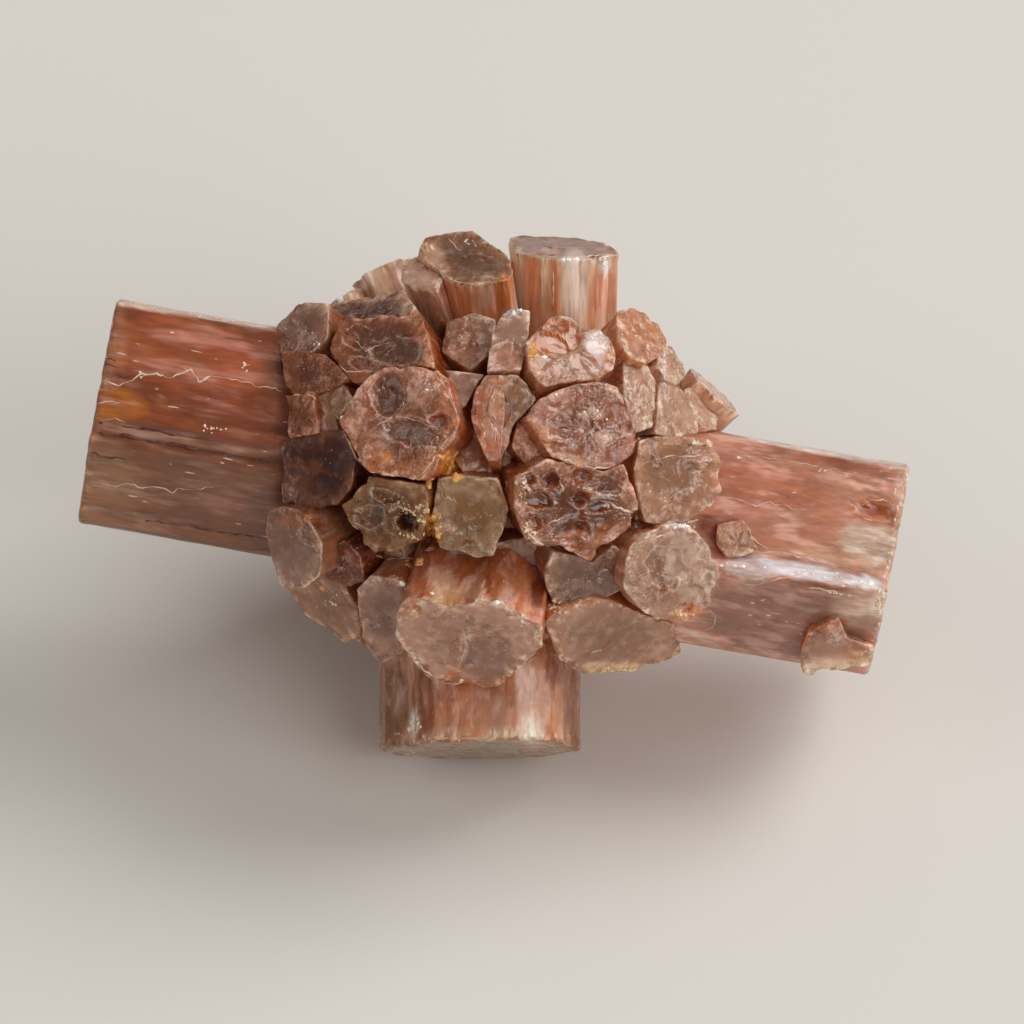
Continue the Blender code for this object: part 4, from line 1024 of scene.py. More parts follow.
def hollowEdge(at, owner, facing):
    # Signed distance from the nearest edge of a hollow: below nought inside it
    nearest = np.full(len(owner), 3.0)
    for index, c in enumerate(crystals):
        for hollow in (h for h in hollows.get(c["name"], ()) if abs(h[5]) > tinting["shallow"]):
            mine = np.flatnonzero((owner == index) & (facing > 0.3))
            signed = (hollowReach(at[mine, 0], at[mine, 2], hollow) - 1.0) * min(hollow[2], hollow[3])
            nearest[mine] = np.where(np.abs(signed) < np.abs(nearest[mine]), signed, nearest[mine])
    return nearest


# How the colours change over a crystal: distances in millimetres, the rest as shares
tinting = {
    "capFrom": (0.45, 0.3),       # how squarely a face of the tip looks along the crystal, and softness
    "facingFrom": 0.3,
    "shallow": 0.15,              # hollows less deep than this have no pale edge
    "paintedRootShade": 7.0,                # this far down the sides the painted shade between crystals is full
    "rootShade": 0.4,
    "rootCast": (0.8, 1.0, 1.05),
    "streaks": 0.30,
    "clear": (0.7, 1.6, 1.1),     # distance from the rim to the clear middle, softness, unevenness
    "milky": (1.6, 0.25),
    "milkyOn": (0.30, 0.25),      # on the sides, and how much more on the tip
    "crushed": (0.55, 0.55),      # strength and width of the crushed edge
    "clouds": 0.32,
    "ragged": 0.30,               # unevenness of the edge of a patch
    "patchEdge": (1.2, 0.28),     # where a patch ends, and softness
    "curdled": 0.25,
    "seed": 8,
    "lyingScale": 0.75,           # wider clouds on the two lying prisms
    "streaky": 0.5,
    "sugary": 0.45,
    "sugarClouds": 1.3,
}


def stoneTints(at, local, owner, cap, rim, facing, shift):
    # Linear colours: sides that darken away from the tip as painted shade between crystals, tips with crushed
    # pale edges round a clear, darker middle, clouds, streaks along the sides, and the patches of the photo,
    # some of them painted light
    tones = {key: np.array([screenTone(skins[c["skin"]][key]) for c in crystals])[owner]
             for key in ("deep", "cap", "side", "pale")}
    factors = np.array([lighter.get(c["name"], (1.0, 1.0)) for c in crystals])[owner]
    tones["cap"], tones["deep"] = tones["cap"] * factors[:, :1], tones["deep"] * factors[:, :1]
    tones["side"] = tones["side"] * factors[:, 1:]
    own = local + shift
    clouds, curdled = fractal(own * 0.45, 311), fractal(own * 1.3, 321)
    streaks = fractal(own * (0.9, 0.9, 0.05), 331)
    down = np.clip(-local[:, 2], 0.0, None)
    # Painted shade: the sides darken down towards their roots, deep between the crystals
    paintedRootShade = np.clip(down / tinting["paintedRootShade"] + 0.25 * clouds, 0.0, 1.0) * (owner >= len(longPrisms))
    side = tones["side"] * (1.0 - tinting["rootShade"] * paintedRootShade[:, None] * tinting["rootCast"])
    side = side * (1.0 + tinting["streaks"] * streaks[:, None])
    start, width, uneven = tinting["clear"]
    clear = np.clip((rim - start) / width + uneven * clouds, 0.0, 1.0)
    tip = tones["cap"] + (tones["deep"] - tones["cap"]) * clear[:, None]
    tint = side + (tip - side) * cap[:, None]
    (contrast, lowest), (onSides, onTip) = tinting["milky"], tinting["milkyOn"]
    milky = np.clip(contrast * curdled - lowest, 0.0, 1.0) * (onSides + onTip * cap)
    strength, width = tinting["crushed"]
    edge = strength * np.exp(-((rim / width) ** 2)) * np.clip(0.6 + 1.2 * curdled, 0.0, 1.0)
    tint = tint * (1.0 + tinting["clouds"] * clouds[:, None])
    tint += (tones["pale"] - tint) * np.maximum(milky, edge)[:, None]
    ragged = tinting["ragged"] * fractal(at * 1.1, 301)
    end, width = tinting["patchEdge"]
    for right, up, long, wide, angle, colour, strength in patches:
        u, v = at[:, 0] - right, at[:, 2] - up
        near = np.flatnonzero((np.hypot(u, v) < 1.7 * max(long, wide)) & (facing > 0.0))
        u, v = turned(u[near], v[near], angle)
        reach = np.hypot(u / long, v / wide) + ragged[near]
        share = strength * facing[near] * np.clip((end - reach) / width, 0.0, 1.0)
        wanted = screenTone(colour) * (1.0 + tinting["curdled"] * curdled[near, None])
        tint[near] += (wanted - tint[near]) * share[:, None]
    return tint


def graded(tint):
    # More colourful about its grey, then paler by gain x / (1 + (gain - 1) x), then warmer where it is dark
    grey = (tint @ stoneFinish["greyShares"])[:, None]
    tint = np.clip(grey + (tint - grey) * stoneFinish["colourfulness"], 0.004, 1.0)
    gain = stoneFinish["lightness"]
    tint = tint * gain / (1.0 + (gain - 1.0) * tint)
    warm = np.clip(1.15 - 1.3 * (tint @ stoneFinish["greyShares"]), 0.0, 1.0)[:, None]
    return tint * (1.0 + (np.array(stoneFinish["cast"]) - 1.0) * warm)


def dressStone(mesh):
    # Writes what the finish reads at every face corner: the crystal's own coordinates, how near its rim,
    # seams and hollows are, how sugary and streaky it is, and its colour. Then leans the stone back.
    points = readOut(mesh.vertices, "co", np.float32, 3).astype(float)
    cornerPoint, cornerEdge = readOut(mesh.loops, "vertex_index"), readOut(mesh.loops, "edge_index")
    faceCrystal = np.minimum(readOut(mesh.attributes["crystal"].data, "value"), len(crystals) - 1)
    normals = np.repeat(readOut(mesh.polygons, "normal", np.float32, 3), 3, axis=0)
    owner = np.repeat(faceCrystal, 3)
    lying = owner < 2  # the left and the right prism
    axes = np.array([crystalAxes(c) for c in crystals])
    middles = np.array([c["middle"] for c in crystals])
    radii = np.array([c["radius"] for c in crystals])
    at = points[cornerPoint]
    local = np.einsum("ij,ikj->ik", at - middles[owner], axes[owner])
    start, width = tinting["capFrom"]
    cap = np.clip((np.einsum("ij,ij->i", normals, axes[owner, 2]) - start) / width, 0.0, 1.0)
    start = tinting["facingFrom"]
    facing = np.clip(start - normals[:, 1], 0.0, start) / start * (1.0 - cap * lying)
    rim = rimDistance(local, owner, radii, axes)
    seam = seamDistance(mesh, points, owner, cornerEdge)[cornerPoint]
    shift = np.random.default_rng(tinting["seed"]).uniform(-40.0, 40.0, (len(crystals), 3))[owner]
    tint = graded(stoneTints(at, local, owner, cap, rim, facing, shift))
    streaky = np.array([streakiness.get(c["name"], tinting["streaky"]) for c in crystals])[owner]
    sugary = np.array([sugariness.get(c["name"], tinting["sugary"]) for c in crystals])[owner]
    sugary = np.clip(sugary + tinting["sugarClouds"] * fractal((local + shift) * 0.5, 341, 2), 0.0, 1.0)
    coarse = np.where(lying, tinting["lyingScale"], 1.0)[:, None]
    cornerValues(mesh, "place", "FLOAT_VECTOR", local * (1.0, 1.0, -1.0) * coarse + shift)
    cornerValues(mesh, "zone", "FLOAT_VECTOR", np.column_stack([cap, rim, seam]))
    edge = hollowEdge(at, owner, facing)
    cornerValues(mesh, "marks", "FLOAT_VECTOR", np.column_stack([edge, sugary, streaky]))
    cornerValues(mesh, "tint", "FLOAT_COLOR", np.hstack([tint, np.ones((len(owner), 1))]))
    away, up = turned(points[:, 1], points[:, 2], cluster["lean"])
    standing = np.column_stack([points[:, 0], away, up + cluster["baseReach"]])
    standing = np.clip(standing * mm, np.array(cadBox[0]), np.array(cadBox[1]))
    mesh.vertices.foreach_set("co", standing.astype(np.float32).ravel())
    mesh.attributes.remove(mesh.attributes["crystal"])
    mesh.shade_smooth()
    mesh.set_sharp_from_angle(angle=math.radians(30.0))
    mesh.update()


# Where the finish reads a ramp, its two values come first, then what they become
stoneFinish = {
    "colourfulness": 1.07,
    "greyShares": (0.3, 0.5, 0.2),
    "lightness": 1.5,              # the clear part swallows light, so the colours start paler
    "cast": (1.06, 0.73, 0.47),    # iron in the stone, less in its pale parts
    "roughness": (0.11, 0.44),     # glassy middles to dull broken skin
    "clearness": 0.25,             # share of the light that passes into the stone
    "ior": 1.60,
    "inside": (240, 196, 170),     # what is left of white light inside
    "insideDensity": 50.0,         # per metre
    "glow": 0.33,                  # light spread under the surface
    "glowReach": 0.0014,
    "glowShares": (1.0, 0.6, 0.45),
    "speck": (255, 238, 220),
    "rimTone": (250, 226, 206),
    "seamTone": (136, 76, 46),
    "stainTone": (194, 150, 122),
    "cloudsPerMm": 1.5,
    "calm": 0.14,                  # share of the mottling that is left in the clear middles
    "broken": (1.1, 0.1),          # distance from the rim where the skin starts to break up
    "sugar": (0.95, 1.35),
    "mottle": (0.36, 0.64, -0.30, 0.18),
    "grit": (0.3, 0.7, -0.15, 0.15),
    "veil": (0.50, 0.64, -0.08, 0.75),
    "fading": (0.42, 0.68, 1.05, 0.82),
    "stain": (0.52, 0.62, 0.0, 0.6),
    "crackWidth": (0.016, 0.004),
    "crackVeil": (0.50, 0.60),
    "cracks": 0.7,
    "hollowLine": (0.12, 0.03, 0.0, 0.5),
    "rimLine": (0.22, 0.07),
    "lineGaps": (0.34, 0.50),
    "lines": 0.9,
    "seam": (0.22, 0.02),
    "seamGaps": (0.58, 0.44),
    "seams": 0.55,
    "facets": (0.7, 2.6),          # depth of the small creases, on smooth and on sugary skin
    "specksAndGlints": (0.83, 0.07),        # how high the grain stands in a bright speck, lower on sugary skin
    "speckShare": 0.75,
    "bump": (0.60, 0.00014),       # strength and height in metres
    "sideBump": 0.3,               # share of it on the sides
    "quiet": 0.18,                 # share of it in the clear middles
}

dressStone(stone)
stonePiece = newObject("aragoniteStone", stone)
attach(stonePiece, "root")
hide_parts("aragonite_cluster")
print("stone dressed")


def feed(tree, node, inputs):
    # Each socket is linked to another one, or holds a value
    for key, value in dict(inputs).items():
        if isinstance(value, bpy.types.NodeSocket):
            tree.links.new(value, node.inputs[key])
        else:
            node.inputs[key].default_value = value


def newNode(tree, kind, inputs=(), **settings):
    made = tree.nodes.new(kind)
    for key, value in settings.items():
        setattr(made, key, value)
    feed(tree, made, inputs)
    return made


def maths(tree, operation, *terms):
    # Arithmetic on numbers or sockets
    return newNode(tree, "ShaderNodeMath", enumerate(terms), operation=operation).outputs[0]


def ramp(tree, value, low, high, toLow=0.0, toHigh=1.0):
    # A value between low and high becomes toLow to toHigh, with soft ends
    made = newNode(tree, "ShaderNodeMapRange", {
        "Value": value, "From Min": low, "From Max": high, "To Min": toLow, "To Max": toHigh},
        interpolation_type="SMOOTHSTEP")
    return made.outputs[0]


def blend(tree, share, first, second, way="MIX"):
    # Two colours mixed by a share
    colours = {0: share, 6: first, 7: second}
    return newNode(tree, "ShaderNodeMix", colours, data_type="RGBA", blend_type=way).outputs[2]


def linear(colour):
    return (*(float(x) for x in screenTone(colour)), 1.0)


def newMaterial(name):
    # A material, its node tree and its shader
    material = bpy.data.materials.new(name)
    material.use_nodes = True
    return material, material.node_tree, material.node_tree.nodes["Principled BSDF"]


def newGroup(name, inputs, outputs):
    # An empty node group with named inputs and outputs, and the sockets that carry them inside
    tree = bpy.data.node_groups.new(name, "ShaderNodeTree")
    for label, kind, value in inputs:
        socket = tree.interface.new_socket(label, in_out="INPUT", socket_type=kind)
        if value is not None:
            socket.default_value = value
    for label in outputs:
        tree.interface.new_socket(label, in_out="OUTPUT", socket_type="NodeSocketFloat")
    return tree, tree.nodes.new("NodeGroupInput").outputs, tree.nodes.new("NodeGroupOutput").inputs


def skinGroup():
    # A broken mineral surface: three unlike clouds, fine grain, and a height of small creased hollows:
    # the distance of a noise from its middle value, with the grain on it
    tree, (place, perMm, facets, *_), result = newGroup(
        "brokenSkin",
        [("Place", "NodeSocketVector", None), ("Per Millimetre", "NodeSocketFloat", 2.0),
         ("Facets", "NodeSocketFloat", 1.0)],
        ["Clouds", "Stain", "Veil", "Grain", "Height"])
    clouds = newNode(tree, "ShaderNodeTexNoise",
                     {"Vector": place, "Scale": perMm, "Detail": 2.0, "Roughness": 0.62})
    parts = newNode(tree, "ShaderNodeSeparateColor", {"Color": clouds.outputs["Color"]})
    grain, creases = (newNode(tree, "ShaderNodeTexNoise", {
        "Vector": place, "Scale": maths(tree, "MULTIPLY", perMm, finer), "Detail": 0.0}).outputs["Fac"]
        for finer in (5.5, 1.5))
    away = maths(tree, "ABSOLUTE", maths(tree, "SUBTRACT", creases, 0.5))
    height = maths(tree, "MULTIPLY_ADD", grain, 0.4, maths(tree, "MULTIPLY", away, facets))
    for number, source in enumerate((*parts.outputs, grain, height)):
        tree.links.new(source, result[number])
    return tree


brokenSkin = skinGroup()


def placeSkin(tree, inputs):
    return newNode(tree, "ShaderNodeGroup", inputs, node_tree=brokenSkin).outputs


def stoneMaterial():
    material, tree, shader = newMaterial("translucentAragonite")
    finish, soft, mix = stoneFinish, partial(ramp, tree), partial(blend, tree)
    times, plus, minus, timesPlus, most, unsigned = (
        partial(maths, tree, operation)
        for operation in ("MULTIPLY", "ADD", "SUBTRACT", "MULTIPLY_ADD", "MAXIMUM", "ABSOLUTE"))
    tint = newNode(tree, "ShaderNodeAttribute", attribute_name="tint").outputs["Color"]
    place, zone, marks = (newNode(tree, "ShaderNodeAttribute", attribute_name=name).outputs["Vector"]
                          for name in ("place", "zone", "marks"))
    cap, rim, seam = newNode(tree, "ShaderNodeSeparateXYZ", {"Vector": zone}).outputs
    hollow, sugary, streaky = newNode(tree, "ShaderNodeSeparateXYZ", {"Vector": marks}).outputs

    # On the sides the pattern is drawn out along the crystal
    stretch = times(streaky, soft(cap, 0.3, 0.7, 1.0, 0.0))
    along = newNode(tree, "ShaderNodeCombineXYZ", {0: 1.0, 1: 1.0, 2: minus(1.0, stretch)})
    drawnOut = newNode(tree, "ShaderNodeVectorMath", {0: place, 1: along.outputs[0]}, operation="MULTIPLY")
    clouds, stain, veil, grain, height = placeSkin(tree, {
        "Place": drawnOut.outputs[0], "Facets": soft(sugary, 0.2, 0.9, *finish["facets"]),
        "Per Millimetre": finish["cloudsPerMm"]})

    # Mottling, pale veils and brown iron stain over the tint, strongest near the rims and on sugary skin
    sugar = soft(timesPlus(stain, 1.1, sugary), *finish["sugar"])
    broken = most(soft(rim, *finish["broken"]), times(sugar, 0.6))
    broken = most(broken, times(streaky, soft(cap, 0.7, 0.3, 0.0, 0.5)))
    broken = timesPlus(broken, 1.0 - finish["calm"], finish["calm"])
    mottle = times(soft(clouds, *finish["mottle"]), broken)
    grit = times(soft(grain, *finish["grit"]), broken)
    mottle = plus(mottle, plus(grit, 1.0))
    mottle = times(mottle, plus(times(soft(veil, *finish["veil"]), broken), 1.0))
    colour = newNode(tree, "ShaderNodeHueSaturation", {
        "Color": tint, "Value": mottle, "Saturation": soft(veil, *finish["fading"])}).outputs[0]
    stained = times(soft(stain, *finish["stain"]), broken)
    colour = mix(stained, colour, linear(finish["stainTone"]), "MULTIPLY")

    # Healed cracks in broken tips: thin pale contours of the clouds, where the veil is thick enough
    crack = times(soft(unsigned(minus(clouds, 0.5)), *finish["crackWidth"]), soft(veil, *finish["crackVeil"]))
    crack = times(crack, times(soft(cap, 0.3, 0.7), soft(sugary, 0.1, 0.5)))
    colour = mix(times(crack, finish["cracks"]), colour, linear(finish["rimTone"]))

    # Crushed pale lines along the rims and round the hollows
    jitter = timesPlus(grain, 0.22, -0.08)
    fromHollow = plus(unsigned(hollow), jitter)
    fromRim = plus(rim, times(jitter, 0.7))
    line = most(soft(fromHollow, *finish["hollowLine"]), soft(fromRim, *finish["rimLine"]))
    line = times(line, soft(stain, *finish["lineGaps"]))
    colour = mix(times(line, finish["lines"]), colour, linear(finish["rimTone"]))

    # Bright specks, thicker where the skin is sugary: partly loose pale grains, partly painted glints
    level, lower = finish["specksAndGlints"]
    specksAndGlints = soft(timesPlus(sugary, lower, grain), level, level + 0.03)
    colour = mix(times(specksAndGlints, finish["speckShare"]), colour, linear(finish["speck"]))

    # Brown clay in parts of the seams between crystals
    clay = times(soft(seam, *finish["seam"]), soft(clouds, *finish["seamGaps"]))
    colour = mix(times(clay, finish["seams"]), colour, linear(finish["seamTone"]))

    # Broken skin is dull and uneven
    glassy, dull = finish["roughness"]
    strength, reach = finish["bump"]
    uneven = most(soft(rim, *finish["broken"], finish["quiet"]), soft(sugary, 0.4, 0.8, finish["quiet"]))
    uneven = times(uneven, soft(cap, 0.2, 0.8, finish["sideBump"]))
    bump = newNode(tree, "ShaderNodeBump",
                   {"Height": times(height, uneven), "Strength": strength, "Distance": reach})
    feed(tree, shader, {
        "Base Color": colour, "Roughness": timesPlus(most(broken, line), dull - glassy, glassy),
        "Normal": bump.outputs[0], "IOR": finish["ior"], "Transmission Weight": finish["clearness"],
        "Subsurface Weight": finish["glow"], "Subsurface Radius": finish["glowShares"],
        "Subsurface Scale": finish["glowReach"]})
    inside = newNode(tree, "ShaderNodeVolumeAbsorption",
                     {"Color": linear(finish["inside"]), "Density": finish["insideDensity"]})
    tree.links.new(inside.outputs[0], tree.nodes["Material Output"].inputs["Volume"])
    return material


stone.materials.clear()  # the join leaves an empty slot
stone.materials.append(stoneMaterial())
print("stone finished")


# Clay, crusts, and bright chips and flakes that sit on the stone, the chips and flakes partly painted glints.
# Places are (right, up, half length, half width, turn, how many), sizes are in millimetres
looseGrains = {
    "ochreClay": {
        "size": (0.1, 0.3), "flat": 0.75, "lumpy": 0.3, "sunk": 0.3, "detail": (9, 14), "seed": 21,
        "colour": (244, 184, 112), "dark": (206, 128, 58), "roughness": 0.85, "clear": 0.0,
        "places": [
            (-3.0, -0.25, 0.45, 0.65, 20, 16), (-4.05, -4.1, 0.25, 0.95, 5, 16),
            (-4.2, -1.4, 0.2, 0.3, 0, 4), (2.0, 6.5, 0.22, 0.5, 0, 7), (0.35, -1.8, 0.14, 0.6, 0, 5),
            (-2.3, -1.1, 0.4, 0.12, 0, 4), (-5.2, -6.3, 0.6, 0.15, -10, 5),
            (-10.9, -7.9, 0.3, 0.3, 0, 4)],
    },
    "creamCrust": {
        "size": (0.05, 0.14), "flat": 0.8, "lumpy": 0.6, "sunk": 0.2, "detail": (3, 5), "seed": 22,
        "colour": (246, 220, 182), "dark": (206, 164, 120), "roughness": 0.5, "clear": 0.0,
        "places": [
            (-5.3, -3.05, 0.75, 0.3, -10, 34), (-4.7, -3.9, 0.2, 0.5, 10, 10),
            (-5.6, -4.75, 0.7, 0.16, -10, 14), (-3.6, -4.0, 0.2, 0.8, 5, 12),
            (7.8, -13.0, 2.3, 0.22, -3, 60), (23.4, -8.9, 0.22, 0.6, 0, 24),
            (24.0, -6.0, 0.14, 2.4, -8, 20), (1.4, -2.0, 0.25, 0.7, 0, 16), (1.7, -4.3, 0.3, 0.5, 30, 14),
            (3.3, -9.1, 0.4, 0.4, 0, 12), (-10.3, -8.6, 0.5, 0.5, 0, 12), (-3.9, 0.9, 0.6, 0.4, 40, 14),
            (11.2, -9.5, 0.8, 0.2, 0, 12), (-5.1, -9.3, 0.35, 0.35, 0, 12)],
    },
    # white crushed chips, partly painted glints at the brightest spots
    "chipsAndPaintedGlints": {
        "size": (0.07, 0.18), "flat": 0.3, "lumpy": 0.5, "sunk": 0.0, "detail": (3, 4), "seed": 25,
        "colour": (255, 252, 246), "dark": (255, 240, 226), "roughness": 0.15, "clear": 0.0,
        "places": [
            (-1.38, -8.55, 0.16, 0.06, 0, 3), (-0.33, -8.75, 0.22, 0.04, 0, 4),
            (-4.12, -8.22, 0.1, 0.06, 0, 2), (1.41, -9.92, 0.16, 0.2, 0, 4),
            (-5.45, -12.16, 0.16, 0.06, -30, 3), (-5.08, -12.48, 0.1, 0.06, -20, 2),
            (-2.39, -13.67, 0.04, 0.12, 0, 2), (-6.0, -7.63, 0.28, 0.05, -50, 5),
            (22.5, -7.6, 0.4, 0.12, -10, 8), (12.0, 0.98, 0.3, 0.05, -5, 4),
            (11.0, -4.1, 0.6, 0.08, 0, 9), (3.46, 3.92, 0.06, 0.08, 60, 2),
            (-5.3, -16.3, 0.3, 0.6, 0, 22), (-10.2, 10.1, 0.3, 0.15, 0, 6), (4.3, 12.3, 0.4, 0.08, 0, 6),
            (6.5, 12.2, 0.12, 0.3, 0, 5), (2.8, 6.2, 0.1, 0.06, 0, 2), (8.37, -3.77, 0.05, 0.3, 0, 4),
            (6.6, -2.85, 0.14, 0.1, 0, 4), (1.5, -1.37, 0.08, 0.25, 0, 4), (-4.4, 4.6, 0.7, 0.2, -55, 2),
            (0.8, 9.1, 0.5, 0.2, 0, 8), (-23.9, -8.0, 0.1, 0.1, 0, 2), (14.6, -6.6, 0.9, 0.4, 0, 4)],
    },
    # bright flakes, partly painted glints
    "flakesAndPaintedGlints": {
        "size": (0.04, 0.12), "flat": 0.4, "lumpy": 0.6, "sunk": 0.05, "detail": (2, 4), "seed": 23,
        "colour": (255, 240, 220), "dark": (240, 206, 180), "roughness": 0.08, "clear": 0.1,
        "places": [
            (-1.38, -8.55, 0.18, 0.08, 0, 5), (-0.33, -8.75, 0.22, 0.06, 0, 5),
            (-4.12, -8.22, 0.12, 0.08, 0, 3), (1.41, -9.92, 0.2, 0.25, 0, 7),
            (-5.45, -12.16, 0.22, 0.1, -30, 5), (-5.08, -12.48, 0.2, 0.1, -20, 4),
            (-2.39, -13.67, 0.1, 0.2, 0, 4), (-6.0, -7.63, 0.32, 0.08, -50, 5),
            (-11.7, -9.7, 0.12, 0.12, 0, 3), (-10.2, 10.1, 0.4, 0.2, 0, 8), (2.8, 6.2, 0.14, 0.1, 0, 4),
            (3.46, 3.92, 0.12, 0.08, 60, 3), (7.5, 7.49, 0.06, 0.16, 0, 3), (12.0, 0.98, 0.4, 0.1, -5, 7),
            (11.0, -4.1, 0.7, 0.12, 0, 14), (22.6, -7.6, 0.35, 0.25, 0, 14),
            (19.3, -7.0, 3.0, 0.3, -10, 44), (19.9, -0.66, 0.22, 0.08, -10, 4),
            (24.4, -1.95, 0.14, 0.2, 30, 5), (14.8, 0.06, 0.12, 0.1, 0, 3), (23.6, -9.7, 0.2, 0.14, 0, 5),
            (20.6, -8.22, 1.0, 0.05, -11, 14), (4.1, 12.4, 0.4, 0.12, 0, 8),
            (6.4, 12.3, 0.5, 0.2, -10, 10), (-1.8, 13.4, 0.5, 0.1, -20, 8), (1.5, -1.37, 0.1, 0.3, 0, 6),
            (6.6, -2.85, 0.2, 0.12, 0, 6), (8.37, -3.77, 0.08, 0.4, 0, 7), (8.47, 1.2, 0.08, 0.5, 0, 7),
            (6.2, 4.75, 1.2, 0.12, -15, 16), (5.6, 2.7, 1.0, 0.35, 0, 16), (-4.4, 4.6, 0.9, 0.3, -55, 14),
            (-9.9, 2.6, 0.1, 0.3, 30, 4), (-19.1, 9.05, 5.0, 0.12, -9, 60),
            (-22.0, 5.0, 0.4, 0.1, -60, 5), (-20.2, 7.9, 0.1, 0.1, 0, 2), (-15.6, 5.7, 0.3, 0.3, 0, 7),
            (-11.4, 6.9, 0.35, 0.35, 0, 10), (-3.6, 8.7, 0.3, 0.06, -60, 4),
            (10.1, 5.5, 0.06, 1.2, 0, 12), (14.2, -6.6, 0.5, 0.4, 0, 8),
            (-4.2, -17.15, 3.0, 0.06, -4, 16), (-17.5, 1.9, 1.0, 0.2, -10, 12)],
    },
}

